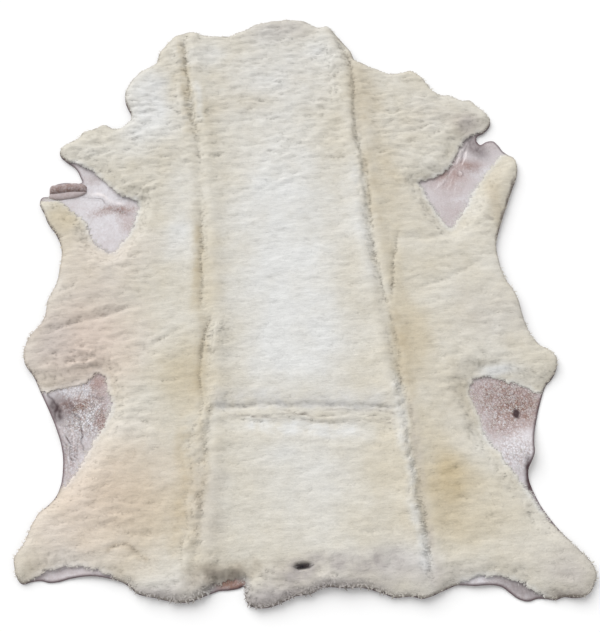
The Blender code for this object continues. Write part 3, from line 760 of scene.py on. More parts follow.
def pelt_fields(solid, outline):
    """Adds each place's distance from the edge and from bare skin, and the wool's height, to the fields."""
    points = solid["points"]
    shape = solid["shape"]
    low = solid["low"]
    gap, nearest = distance(points, outline, True)
    depth = np.where(inside(points, outline), gap, -gap)
    wavy = wandering(points, 9 * MM, 71, 3.0 * MM)
    wavy = wandering(wavy, 3.6 * MM, 73, 1.2 * MM)
    from_bare = np.full(len(points), 1.0)
    thinned = np.ones(len(points))
    crisp = np.zeros(len(points))
    at_bare = points.copy()
    for reach, steep, marks in BARE_EDGES:
        loop = smooth_line(np.array(marks, float) * MM, 3 * MM, True)
        middle = (loop.min(axis=0) + loop.max(axis=0)) / 2
        span = np.abs(loop - middle).max() + 1.3 * reach * MM
        near = np.flatnonzero(np.abs(points - middle).max(axis=1) < span)
        gap, closest = distance(wavy[near], loop, True)
        side = np.where(inside(wavy[near], loop), -1, 1)
        neckward = side * (wavy[near] - closest)[:, 1] / np.maximum(gap, 1e-6)
        sharp = steep * soft_step(neckward, 0.1, 0.8)
        least = 0.10 + 0.50 * sharp
        thin = least + (1 - least) * soft_step(side * gap, 0, reach * MM)
        thinned[near] = np.minimum(thinned[near], thin)
        closer = side * gap < from_bare[near]
        chosen = near[closer]
        from_bare[chosen] = (side * gap)[closer]
        crisp[chosen] = sharp[closer]
        at_bare[chosen] = points[chosen] + (closest - wavy[near])[closer]
    cover = np.maximum(np.clip((solid["thick"].at(points) - LEATHER) / WOOL, 0, 1.4), 0.45) * thinned
    height = np.maximum(cover * WOOL + wool_relief(points) * np.sqrt(thinned), 0.35 * cover * WOOL)
    height *= soft_step(slit_depth(points) + 0.25 * clouds(points, 6 * MM, 6 * MM, 75), 0.5, 1.5)
    flap = distance(points, np.array(FLAP_GROOVE, float) * MM)[0]
    height *= soft_step(flap, 12 * MM, 20 * MM)
    solid["depth"] = Field(low, depth.reshape(shape))
    solid["wool"] = Field(low, height.reshape(shape))
    solid["from_bare"] = Field(low, from_bare.reshape(shape))
    solid["crisp"] = Field(low, crisp.reshape(shape))
    solid["at_rim"] = nearest
    solid["at_bare"] = at_bare


# Meshes


def new_mesh(name, vertices, faces):
    mesh = bpy.data.meshes.new(name)
    mesh.from_pydata(vertices.tolist(), [], [tuple(face) for face in faces])
    mesh.update()
    piece = bpy.data.objects.new(name, mesh)
    bpy.context.scene.collection.objects.link(piece)
    mesh.shade_smooth()
    return piece


def select_only(piece):
    bpy.ops.object.select_all(action="DESELECT")
    piece.select_set(True)
    bpy.context.view_layer.objects.active = piece


def paint(piece, name, values):
    """Keeps a value for each vertex as an attribute that the material reads."""
    layer = piece.data.attributes.new(name, "FLOAT", "POINT")
    layer.data.foreach_set("value", np.asarray(values, np.float32))


def flat_places(piece):
    places = np.empty(len(piece.data.vertices) * 3, np.float32)
    piece.data.vertices.foreach_get("co", places)
    return places.reshape(-1, 3)[:, :2].astype(float)


def paint_wool(solid, piece, shade):
    """The wool's tints and its shade, which is 1 for wool in the dark between locks or at the edge."""
    places = flat_places(piece)
    cream, tan, grey = spots(places, TINTS, 3).T
    line_cream, line_tan, line_grey, line_shade = line_tints(places, LINE_TINTS, 4).T
    by_skin = bell(np.maximum(solid["from_bare"].at(places), 0), 9 * MM)
    # Along the tail's curly rim the wool is painted greyer and darker: partly its greyer tone there and
    # partly painted shade between the curls.
    by_rim = tail_rim(places) * bell(np.maximum(solid["depth"].at(places), 0), 15 * MM)
    paint(piece, "cream", np.clip(PLAIN_CREAM + cream + line_cream - 0.4 * by_skin - 0.3 * by_rim, 0, 1))
    paint(piece, "tan", np.clip(tan + line_tan, 0, 1))
    paint(piece, "grey", np.clip(grey + line_grey + 0.4 * by_rim, 0, 1))
    paint(piece, "shade", np.clip(shade + line_shade + 0.12 * by_rim, 0, 1))
    # Painted shadow round the slit, for the dark inside of the hole.
    paint(piece, "slit", bell(slit_depth(places), 1.9))
    paint(piece, "rosy", np.clip(spots(places, ROSY_PLACES, 1)[:, 0], 0, 1))


def share_up(solid, piece, places):
    """How far up the wool each vertex is, from 0 at the leather to 1 at the clipped surface."""
    spots_in_space = np.empty(len(piece.data.vertices) * 3, np.float32)
    piece.data.vertices.foreach_get("co", spots_in_space)
    over = spots_in_space.reshape(-1, 3)[:, 2] - solid["floor"].at(places) - LEATHER
    return np.clip(over / np.maximum(solid["wool"].at(places), MM), 0, 1)


def outer_edges(faces):
    """The edges that only one face has, in that face's direction."""
    ends = np.vstack([faces[:, [n, (n + 1) % faces.shape[1]]] for n in range(faces.shape[1])])
    keys = np.sort(ends, axis=1)
    _, first, counts = np.unique(keys, axis=0, return_index=True, return_counts=True)
    return ends[first[counts == 1]]


def tail_rim(points):
    """1 along the curly end of the pelt at the tail."""
    across = soft_step(-np.abs(points[:, 0] + 0.06), -0.24, -0.12)
    return soft_step(-points[:, 1], 0.43, 0.475) * (0.25 + 0.75 * across)


def fleece(solid):
    """The wool's body: a closed form from the leather up to the clipped surface."""
    rows, columns = solid["shape"]
    points = solid["points"].copy()
    depth = solid["depth"].values.ravel()
    height = solid["wool"].values.ravel()
    from_bare = solid["from_bare"].values.ravel()
    kept = (depth > -0.5 * CELL) & (from_bare > -0.5 * CELL) & (height > 0.5 * MM)
    for gap, at_edge in ((from_bare, solid["at_bare"]), (depth, solid["at_rim"])):
        close = kept & (gap < 0.5 * CELL)
        points[close] = at_edge[close]
    corners = np.arange(rows * columns).reshape(rows, columns)
    sides = [corners[:-1, :-1], corners[:-1, 1:], corners[1:, 1:], corners[1:, :-1]]
    quads = np.stack(sides, axis=-1).reshape(-1, 4)
    quads = quads[kept[quads].all(axis=1)]
    used, quads = np.unique(quads, return_inverse=True)
    quads = quads.reshape(-1, 4)
    places = points[used]
    base = solid["floor"].at(places) + LEATHER
    top = base + height[used]
    count = len(used)
    edges = outer_edges(quads)
    rim = np.unique(edges)
    out = np.zeros((count, 2))
    ways = places[edges[:, 1]] - places[edges[:, 0]]
    for end in (0, 1):
        np.add.at(out, edges[:, end], np.column_stack([ways[:, 1], -ways[:, 0]]))
    out = out[rim] / np.maximum(np.hypot(*out[rim].T), 1e-9)[:, None]
    rim_number = np.full(count, -1)
    rim_number[rim] = np.arange(len(rim))
    tall = np.clip((top - base)[rim] / (5 * MM), 0, 1)[:, None]
    hang = solid["crisp"].at(places[rim]) * (solid["from_bare"].at(places[rim]) < CELL)
    hang = (hang * (solid["depth"].at(places[rim]) > CELL))[:, None]
    middle_ring = np.column_stack([
        places[rim] + (0.4 - 0.9 * hang) * MM * tall * out,
        base[rim] + 0.5 * (top - base)[rim],
    ])
    upper, lower = places.copy(), places.copy()
    upper[rim] += (2.3 * hang - 1.3) * MM * tall * out
    lower[rim] -= (1.3 + 1.2 * hang) * MM * tall * out
    vertices = np.vstack([
        np.column_stack([upper, top]),
        middle_ring,
        np.column_stack([lower, base - 0.4 * MM]),
    ])
    under = count + len(rim)
    starts, ends = edges.T
    ring = count + rim_number
    upper_wall = np.column_stack([ends, starts, ring[starts], ring[ends]])
    lower_wall = np.column_stack([ring[ends], ring[starts], under + starts, under + ends])
    faces = np.vstack([quads, upper_wall, lower_wall, quads[:, ::-1] + under])
    piece = new_mesh("fleece", vertices, faces)
    group = piece.vertex_groups.new(name="underside")
    group.add(list(range(under, len(vertices))), 1.0, "REPLACE")
    thin = piece.modifiers.new("Thin", "DECIMATE")
    thin.ratio = 0.55
    thin.vertex_group = group.name
    thin.vertex_group_factor = 1.0
    select_only(piece)
    bpy.ops.object.modifier_apply(modifier=thin.name)
    piece.vertex_groups.clear()
    places = flat_places(piece)
    # Painted shade on the wool's body: dark at the edge, darker down its wall towards the leather, and along
    # the tail's curly rim.
    shade = bell(np.maximum(solid["depth"].at(places), 0), 5 * MM) * (1 - 0.4 * tail_rim(places))
    shade *= 1 - 0.25 * soft_step(share_up(solid, piece, places), 0.3, 0.9)
    shade += 0.25 * tail_rim(places) * bell(np.maximum(solid["depth"].at(places), 0), 16 * MM)
    paint_wool(solid, piece, shade)
    return piece


def hex_points(low, high, step):
    rows = []
    for number, along in enumerate(np.arange(low[1], high[1], step * math.sqrt(3) / 2)):
        across = np.arange(low[0], high[0], step) + (step / 2 if number % 2 else 0)
        rows.append(np.column_stack([across, np.full(len(across), along)]))
    return np.vstack(rows)


def hide(solid, outline, slit):
    """The leather: a closed sheet under all of the wool, wrinkled and finely divided where it is bare."""
    low, high = outline.min(axis=0), outline.max(axis=0)
    coarse = hex_points(low, high, HIDE_STEP)
    fine = hex_points(low, high, PIT_STEP)
    shown = (solid["from_bare"].at(fine) < 6 * MM) & (solid["depth"].at(fine) > PIT_STEP * 0.8)
    fine = fine[shown & (slit_depth(fine) > 1.5)]
    covered = (solid["from_bare"].at(coarse) >= 6 * MM) & (solid["depth"].at(coarse) > HIDE_STEP * 0.5)
    coarse = coarse[covered & (slit_depth(coarse) > 1.8)]
    slit_middle = slit.mean(axis=0)
    slit = slit_middle + (slit - slit_middle) * SLIT_CLOSED
    flat = np.vstack([outline, slit, coarse, fine])
    edges = [(n, (n + 1) % len(outline)) for n in range(len(outline))]
    edges += [(len(outline) + n, len(outline) + (n + 1) % len(slit)) for n in range(len(slit))]
    made, _, faces, *_ = delaunay_2d_cdt([Vector(point) for point in flat], edges, [], 0, 0.01 * MM)
    places = np.array([tuple(point) for point in made])
    corners = np.array([tuple(face) for face in faces])
    middles = places[corners].mean(axis=1)
    corners = corners[inside(middles, outline) & ~inside(middles, slit)]
    used, corners = np.unique(corners, return_inverse=True)
    corners = corners.reshape(-1, 3)
    places = places[used]
    places[:len(outline)] = edge_out(outline, EDGE_PAST)[0]
    bare = 1 - soft_step(solid["from_bare"].at(places), -4 * MM, 1 * MM)
    under = solid["floor"].at(places)
    thick = LEATHER + bare * (skin_relief(places) - 0.3 * MM)
    count = len(places)
    rim = outer_edges(corners)
    walls = np.column_stack([rim[:, 1], rim[:, 0], rim[:, 0] + count, rim[:, 1] + count])
    vertices = np.vstack([np.column_stack([places, under + thick]), np.column_stack([places, under])])
    faces = [tuple(face) for face in corners] + [tuple(face) for face in corners[:, ::-1] + count]
    faces += [tuple(face) for face in walls]
    piece = new_mesh("hide", vertices, faces)
    both = np.vstack([places, places])
    flesh_side = np.repeat([0.0, 1.0], count)
    # Painted shadow in the slit, with the dark places of SKIN_SHADES, some of which are painted shadow too.
    dark = np.maximum(skin_shade(both), 0.9 * bell(slit_depth(both), 2.4))
    # The leather's cut edge is painted dark: partly its own edge colour and partly painted shade at the edge.
    edge_tone_and_shade = bell(np.maximum(solid["depth"].at(both), 0), 3.5 * MM)
    paint_skin(piece, flesh_side, dark * (1 - flesh_side), edge_tone_and_shade)
    return piece, float(triangle_area(places, corners))


def triangle_area(places, corners):
    one = places[corners[:, 1]] - places[corners[:, 0]]
    two = places[corners[:, 2]] - places[corners[:, 0]]
    return np.abs(one[:, 0] * two[:, 1] - one[:, 1] * two[:, 0]).sum() / 2


def paint_skin(piece, flesh_side, dark, rim):
    """Bare leather's tints, as spots and lines from the tables, with its dark edge and dark places, which are
    partly painted shade.
    """
    places = flat_places(piece)
    pink, brown, white, grain = spots(places, SKIN_TINTS, 4).T
    paint(piece, "pink", np.clip(pink, 0, 1))
    paint(piece, "brown", np.clip(brown, 0, 1))
    paint(piece, "white", np.clip(white, -1, 1))
    paint(piece, "grain", graininess(places))
    paint(piece, "line", np.clip(line_tints(places, SKIN_LINES, 1)[:, 0], -1, 1) * (1 - flesh_side))
    paint(piece, "flesh_side", flesh_side)
    paint(piece, "rim", rim)
    paint(piece, "dark_marks_and_shade", dark)


def lock_mesh(name, roots, ways, lengths, widths, rise, seed, ups=None):
    """Many small bent locks of wool as one mesh, pointed at both ends and three-sided in the middle.

    rise is how high the middle and the tip stand over the root, as shares of the length. ups are the
    directions that the wool around faces, which the locks are shaded with.
    """
    count = len(roots)
    rng = np.random.default_rng(seed)
    ways = ways / np.hypot(*ways.T)[:, None]
    sides = np.column_stack([-ways[:, 1], ways[:, 0]])
    curl = rng.normal(0, 0.14, count) * lengths
    middle = roots[:, :2] + ways * (0.45 * lengths)[:, None] + sides * curl[:, None]
    height = roots[:, 2] + rise[0] * lengths
    rings = [roots]
    for turn_side, turn_up in ((0.5, -0.2), (-0.5, -0.2), (0, 0.3)):
        place = middle + sides * (widths * turn_side)[:, None]
        rings.append(np.column_stack([place, height + widths * turn_up]))
    tip = roots[:, :2] + ways * (0.95 * lengths)[:, None] - sides * (0.4 * curl)[:, None]
    rings.append(np.column_stack([tip, roots[:, 2] + rise[1] * lengths]))
    vertices = np.stack(rings, axis=1).reshape(-1, 3)
    starts = 5 * np.arange(count)
    pattern = [(0, 3, 1), (0, 2, 3), (0, 1, 2), (4, 1, 3), (4, 3, 2), (4, 2, 1)]
    faces = (starts[:, None, None] + np.array(pattern)[None]).reshape(-1, 3)
    mesh = bpy.data.meshes.new(name)
    mesh.vertices.add(len(vertices))
    mesh.vertices.foreach_set("co", vertices.ravel())
    mesh.loops.add(faces.size)
    mesh.loops.foreach_set("vertex_index", faces.ravel())
    mesh.polygons.add(len(faces))
    mesh.polygons.foreach_set("loop_start", np.arange(0, faces.size, 3))
    mesh.update(calc_edges=True)
    mesh.validate()
    mesh.shade_smooth()
    piece = bpy.data.objects.new(name, mesh)
    bpy.context.scene.collection.objects.link(piece)
    paint(piece, "tuft", np.repeat(rng.uniform(0, 1, count), 5))
    if ups is not None:
        flat_sides = np.column_stack([sides, np.zeros(count)])
        flat_ways = np.column_stack([ways, np.zeros(count)])
        facing = [ups, ups + 0.4 * flat_sides, ups - 0.4 * flat_sides, ups, ups + 0.2 * flat_ways]
        facing = np.stack(facing, axis=1).reshape(-1, 3)
        facing /= np.linalg.norm(facing, axis=1)[:, None]
        mesh.normals_split_custom_set_from_vertices(facing.tolist())
    return piece


def wool_facing(solid, places):
    """The direction that the clipped surface faces at each place."""
    step = 3 * MM

    def height(points):
        return solid["floor"].at(points) + solid["wool"].at(points)

    across = (height(places + [step, 0]) - height(places - [step, 0])) / (2 * step)
    along = (height(places + [0, step]) - height(places - [0, step])) / (2 * step)
    facing = np.column_stack([-across, -along, np.ones(len(places))])
    return facing / np.linalg.norm(facing, axis=1)[:, None]


def nap_ways(points, rng):
    """The way in which the wool lies: in rows across the pelt, with swirls away from the spine."""
    calm = np.exp(-((points[:, 0] / (0.13)) ** 4)) * soft_step(-points[:, 1], -0.30, -0.05)
    swirl = 0.85 * clouds(points, 46 * MM, 40 * MM, 81) + 0.6 * clouds(points, 15 * MM, 15 * MM, 83)
    spread_out = rng.normal(0, 1, len(points)) * (0.42 - 0.16 * calm)
    angle = math.pi * rng.integers(0, 2, len(points)) + swirl * (1 - 0.75 * calm) + spread_out
    return np.column_stack([np.cos(angle), np.sin(angle)])


def laid_locks(name, solid, places, ways, lengths, widths, crest, seed):
    """Locks that lie on the clipped surface and follow it, with their middles raised by about the crest."""
    height = solid["wool"].at(places)
    ends = places + ways / np.hypot(*ways.T)[:, None] * (0.9 * lengths)[:, None]
    drop = solid["wool"].at(ends) + solid["floor"].at(ends) - height - solid["floor"].at(places)
    drop = np.clip(drop, -0.25 * lengths, 0.25 * lengths)
    roots = np.column_stack([places, solid["floor"].at(places) + LEATHER + height - 0.9 * crest])
    tips = (1.1 * crest + drop) / lengths
    middles = (0.95 * crest + 0.5 * drop) / lengths
    return lock_mesh(name, roots, ways, lengths, widths, (middles, tips), seed, wool_facing(solid, places))


def nap(name, solid, outline, spacing, seed):
    """Short locks all over the clipped surface."""
    rng = np.random.default_rng(seed)
    places = hex_points(outline.min(axis=0), outline.max(axis=0), spacing)
    places = places + rng.uniform(-0.5, 0.5, places.shape) * spacing
    height = solid["wool"].at(places)
    facing = wool_facing(solid, places)
    kept = (solid["depth"].at(places) > 2.5 * MM) & (solid["from_bare"].at(places) > 0.3 * MM)
    kept &= (height > 0.9 * MM) & (facing[:, 2] > STEEPEST)
    places, height = places[kept], height[kept]
    full = np.clip(height / WOOL, 0.25, 1)
    lengths = rng.uniform(5.5, 9.5, len(places)) * MM * (0.5 + 0.5 * full)
    widths = rng.uniform(1.1, 1.9, len(places)) * MM
    piece = laid_locks(name, solid, places, nap_ways(places, rng), lengths, widths, CREST, seed + 1)
    paint_wool(solid, piece, np.zeros(len(piece.data.vertices)))
    return piece


def rim_tufts(solid, outline, seed):
    """Locks round the edge, that stand over the cut leather, longer and curlier at the tail."""
    rng = np.random.default_rng(seed)
    rows = []
    line = smooth_line(outline, 2.0 * MM, True)
    _, out = edge_out(line, 0)
    for inset in RIM_INSETS:
        place = line - out * (inset + rng.uniform(-0.8, 0.8, len(line)))[:, None] * MM
        rows.append(np.column_stack([place, out, np.full(len(line), inset)]))
    table = np.vstack(rows)
    places, out, inset = table[:, :2], table[:, 2:4], table[:, 4]
    height = solid["wool"].at(places)
    curly = tail_rim(places)
    kept = (height > 2.2 * MM) & (solid["depth"].at(places) > 0.4 * MM)
    kept &= solid["from_bare"].at(places) > 1 * MM
    kept &= rng.uniform(0, 1, len(places)) < 0.3 + 0.35 * curly
    places, out, inset, height, curly = places[kept], out[kept], inset[kept], height[kept], curly[kept]
    lean = rng.uniform(0, 0.8, len(places)) * height * np.where(inset < 2, 0.9, 0.1)
    ways = out * (0.15 + 0.1 * curly)[:, None] + 0.7 * rng.normal(0, 1, out.shape)
    lengths = rng.uniform(2.6, 4.2, len(places)) * MM * (1 + 0.9 * curly)
    widths = rng.uniform(0.9, 1.5, len(places)) * MM * (1 + 1.2 * curly)
    roots = np.column_stack([places, solid["floor"].at(places) + LEATHER + height - lean - 0.8 * MM])
    tips = 0.08 * rng.uniform(-1, 1.0, len(places))
    outwards = np.column_stack([out * np.where(inset < 3, 0.45, 0.2)[:, None], np.ones(len(out))])
    outwards /= np.linalg.norm(outwards, axis=1)[:, None]
    rise = (np.full(len(roots), 0.16), tips)
    piece = lock_mesh("rim_tufts", roots, ways, lengths, widths, rise, seed + 1, outwards)
    # Painted shade on the tufts: a little in the row at the very edge, and more on some of the tail's curls,
    # for the dark between them.
    dark = 0.10 * (inset < 2) + 0.28 * curly * np.clip(rng.uniform(-0.9, 1, len(places)), 0, 1) ** 1.5
    paint_wool(solid, piece, np.repeat(dark, 5))
    return piece


def ridge_locks(solid, seed):
    """Larger locks that lie aslant on the ridges beside the long partings."""
    rng = np.random.default_rng(seed)
    rows = []
    for marks, half_width, density in LOCKED_RIDGES:
        line = smooth_line(np.array(marks, float) * MM, 1 * MM, False)
        count = int(len(line) * density)
        number = rng.integers(0, len(line), count)
        along = np.gradient(line, axis=0)[number]
        along /= np.hypot(*along.T)[:, None]
        across = np.column_stack([-along[:, 1], along[:, 0]])
        rows.append(line[number] + across * (rng.normal(0, 0.6, count) * half_width * MM)[:, None])
    places = np.vstack(rows)
    angle = rng.normal(0.75, 0.45, len(places)) + 0.8 * clouds(places, 20 * MM, 20 * MM, 85)
    ways = np.column_stack([np.cos(angle), np.sin(angle)])
    lengths = rng.uniform(6.0, 11.0, len(places)) * MM
    widths = rng.uniform(1.6, 2.8, len(places)) * MM
    piece = laid_locks("ridge_locks", solid, places, ways, lengths, widths, 1.3 * MM, seed + 1)
    paint_wool(solid, piece, np.zeros(len(piece.data.vertices)))
    return piece


def pit_fringe(solid, outline, seed):
    """Wisps where the wool ends at the bare skin."""
    rng = np.random.default_rng(seed)
    places = hex_points(outline.min(axis=0), outline.max(axis=0), 1.9 * MM)
    places = places + rng.uniform(-0.5, 0.5, places.shape) * 1.9 * MM
    from_bare = solid["from_bare"]
    away = from_bare.at(places)
    crisp = solid["crisp"].at(places)
    sparse = np.clip((away + (6 - 6.5 * crisp) * MM) / (7 * MM), 0, 1) ** 2
    kept = (away < 7 * MM) & (rng.uniform(0, 1, len(places)) < sparse)
    kept &= solid["depth"].at(places) > 1.5 * MM
    places = places[kept]
    step = 2 * MM
    slope = np.column_stack([
        from_bare.at(places + [step, 0]) - from_bare.at(places - [step, 0]),
        from_bare.at(places + [0, step]) - from_bare.at(places - [0, step]),
    ])
    ways = -slope / np.maximum(np.hypot(*slope.T), 1e-6)[:, None] + 0.9 * rng.normal(0, 1, slope.shape)
    height = solid["wool"].at(places)
    rooted = LEATHER + np.maximum(height - 0.7 * MM, 0.1 * MM)
    roots = np.column_stack([places, solid["floor"].at(places) + rooted])
    lengths = rng.uniform(3.0, 6.5, len(places)) * MM
    widths = rng.uniform(0.5, 0.9, len(places)) * MM
    fall = np.maximum(-0.6 * height, -2.0 * MM) / lengths + 0.03
    facing = wool_facing(solid, places) * [0.5, 0.5, 1]
    facing /= np.linalg.norm(facing, axis=1)[:, None]
    piece = lock_mesh("pit_fringe", roots, ways, lengths, widths, (0.05 + 0.4 * fall, fall), seed + 1, facing)
    paint_wool(solid, piece, np.zeros(len(piece.data.vertices)))
    return piece


def stubble(solid, outline, seed):
    """Short white hairs that are left on the bare skin."""
    rng = np.random.default_rng(seed)
    places = hex_points(outline.min(axis=0), outline.max(axis=0), 2.0 * MM)
    places = places + rng.uniform(-0.5, 0.5, places.shape) * 2.0 * MM
    thick = 0.75 * graininess(places) + 0.6 * clouds(places, 12 * MM, 12 * MM, 91)
    bare = (solid["from_bare"].at(places) < -1 * MM) & (solid["depth"].at(places) > 3 * MM)
    kept = bare & (thick > rng.uniform(0.15, 0.9, len(places))) & (skin_shade(places) < 0.3)
    places = places[kept]
    angle = rng.uniform(0, 2 * math.pi, len(places))
    ways = np.column_stack([np.cos(angle), np.sin(angle) - 0.6])
    roots = np.column_stack([places, solid["floor"].at(places) + LEATHER + skin_relief(places) - 0.5 * MM])
    lengths = rng.uniform(2.5, 5.0, len(places)) * MM
    widths = rng.uniform(0.3, 0.55, len(places)) * MM
    facing = wool_facing(solid, places)
    piece = lock_mesh("stubble", roots, ways, lengths, widths, (0.12, 0.08), seed + 1, facing)
    paint_wool(solid, piece, np.zeros(len(piece.data.vertices)))
    return piece


def flap_roll(solid):
    """The strip of leather that has rolled up at the left foreleg: a high roll, a groove and a low band."""
    lines = []
    for marks in (FLAP_TOP, FLAP_GROOVE, FLAP_BOTTOM):
        line = smooth_line(np.array(marks, float) * MM, 1 * MM, False)
        line = line[np.argsort(line[:, 0])]
        lines.append(line)
    left = max(line[0, 0] for line in lines)
    right = min(line[-1, 0] for line in lines)
    across = np.linspace(left, right, 48)
    top, groove, bottom = (np.interp(across, line[:, 0], line[:, 1]) for line in lines)
    share = np.linspace(0, 1, len(across))
    full = np.clip(np.minimum(share, 1 - share) / 0.07, 0.05, 1) ** 0.5
    base = solid["floor"].at(np.column_stack([across, groove])) + LEATHER
    turns = np.linspace(0, math.pi, 11)
    profile = [(turn, "roll") for turn in turns] + [(turn, "band") for turn in turns[1:]]
    profile += [(0.7, "under"), (0.3, "under")]
    vertices, brown, flap_shade = [], [], []
    for x, y_top, y_groove, y_bottom, z, tall, part in zip(across, top, groove, bottom, base, full, share):
        for turn, kind in profile:
            if kind == "under":
                vertices.append((x, y_bottom + turn * (y_top - y_bottom), z - 0.4 * MM))
                brown.append(0.4)
                # Painted shade under the flap.
                flap_shade.append(0.3)
                continue
            high, low = (y_top, y_groove) if kind == "roll" else (y_groove, y_bottom)
            uneven = 1 + 0.10 * math.sin(11 * part) + 0.07 * math.sin(27 * part + 1)
            height = (FLAP_ROLL if kind == "roll" else FLAP_BAND) * uneven
            rise = max(math.sin(turn), 0) ** 0.75 * height * tall * MM
            if kind == "roll" and turn > math.pi / 2 or kind == "band" and turn < math.pi / 2:
                rise = max(rise, 1.2 * tall * MM)
            y = (high + low) / 2 + math.cos(turn) * (high - low) / 2 * (0.9 + 0.1 * tall)
            vertices.append((x, y, z + rise))
            # Painted shade in the groove between roll and band.
            in_groove = abs(y - y_groove) / MM
            flap_shade.append(0.12 * max(0, 1 - in_groove / 3.5))
            brown.append(0.60 if kind == "roll" else 0.30)
    width = len(profile)
    faces = []
    for ring in range(len(across) - 1):
        for step in range(width):
            start, after = ring * width + step, ring * width + (step + 1) % width
            faces.append((start, start + width, after + width, after))
    faces.append(tuple(range(width)))
    faces.append(tuple((len(across) - 1) * width + step for step in reversed(range(width))))
    piece = new_mesh("foreleg_flap", np.array(vertices), faces)
    paint(piece, "pink", 0.6 * np.array(brown))
    paint(piece, "brown", brown)
    paint(piece, "white", np.where(np.array(brown) > 0.5, -0.15, -0.05))
    paint(piece, "grain", np.where(np.array(brown) > 0.5, 0.45, 0.1))
    paint(piece, "line", flap_shade)
    # A little of the skin's dark colour darkens the whole flap.
    for name in ("flesh_side", "rim", "dark_marks_and_shade"):
        paint(piece, name, np.full(len(vertices), 0.15 if name == "dark_marks_and_shade" else 0.0))
    select_only(piece)
    bpy.ops.object.mode_set(mode="EDIT")
    bpy.ops.mesh.select_all(action="SELECT")
    bpy.ops.mesh.normals_make_consistent(inside=False)
    bpy.ops.object.mode_set(mode="OBJECT")
    return piece


# Materials


def new_group(name, inputs, outputs):
    group = bpy.data.node_groups.new(name, "ShaderNodeTree")
    for label, kind, value in inputs:
        socket = group.interface.new_socket(label, in_out="INPUT", socket_type=kind)
        socket.default_value = value
    for label, kind in outputs:
        group.interface.new_socket(label, in_out="OUTPUT", socket_type=kind)
    return group, group.nodes.new("NodeGroupInput"), group.nodes.new("NodeGroupOutput")


def node(tree, kind, inputs=None, **settings):
    made = tree.nodes.new(kind)
    for key, value in settings.items():
        setattr(made, key, value)
    for key, value in (inputs or {}).items():
        if isinstance(value, bpy.types.NodeSocket):
            tree.links.new(value, made.inputs[key])
        else:
            made.inputs[key].default_value = value
    return made


def mixed(tree, share, one, other, blend="MIX"):
    """The colour between two others, where a share of 0 gives the first."""
    made = node(tree, "ShaderNodeMix", data_type="RGBA", blend_type=blend, clamp_factor=True)
    for socket, value in ((made.inputs[0], share), (made.inputs[6], one), (made.inputs[7], other)):
        if isinstance(value, bpy.types.NodeSocket):
            tree.links.new(value, socket)
        else:
            socket.default_value = value
    return made.outputs[2]


def maths(tree, operation, one, other=0.0, clamp=False):
    made = node(tree, "ShaderNodeMath", {0: one, 1: other}, operation=operation, use_clamp=clamp)
    return made.outputs[0]


def spread(tree, value, low, high, new_low=0.0, new_high=1.0):
    inputs = {"Value": value, "From Min": low, "From Max": high, "To Min": new_low, "To Max": new_high}
    return node(tree, "ShaderNodeMapRange", inputs).outputs[0]


def noise(tree, place, stretch, scale, detail=3.0, roughness=0.55):
    """A noise value over Object coordinates, stretched by (x, y, z)."""
    moved = node(tree, "ShaderNodeMapping", {"Vector": place, "Scale": stretch})
    inputs = {"Vector": moved.outputs[0], "Scale": scale, "Detail": detail, "Roughness": roughness}
    return node(tree, "ShaderNodeTexNoise", inputs).outputs["Fac"]


def attribute(tree, name):
    return node(tree, "ShaderNodeAttribute", attribute_name=name, attribute_type="GEOMETRY").outputs["Fac"]


WOOL_TINTS = ("cream", "tan", "rosy", "grey", "shade", "tuft", "slit")  # attributes that wool reads
# The slit's colour is a painted shadow, for the dark inside of the hole.
SLIT_SHADOW = srgb(62, 64, 74)
COOL_WHITE = srgb(227, 227, 225)
CREAM = srgb(213, 206, 190)
TAN = srgb(190, 170, 128)
ROSE = srgb(226, 200, 186)
# A grey that is partly the wool's own greyer tone and partly painted shade.
GREY_TONE_AND_SHADE = srgb(183, 177, 175)
# The colour of painted shade: at the wool's edges, in partings and creases, and between the tail's curls.
ROOT_SHADE = srgb(132, 123, 114)


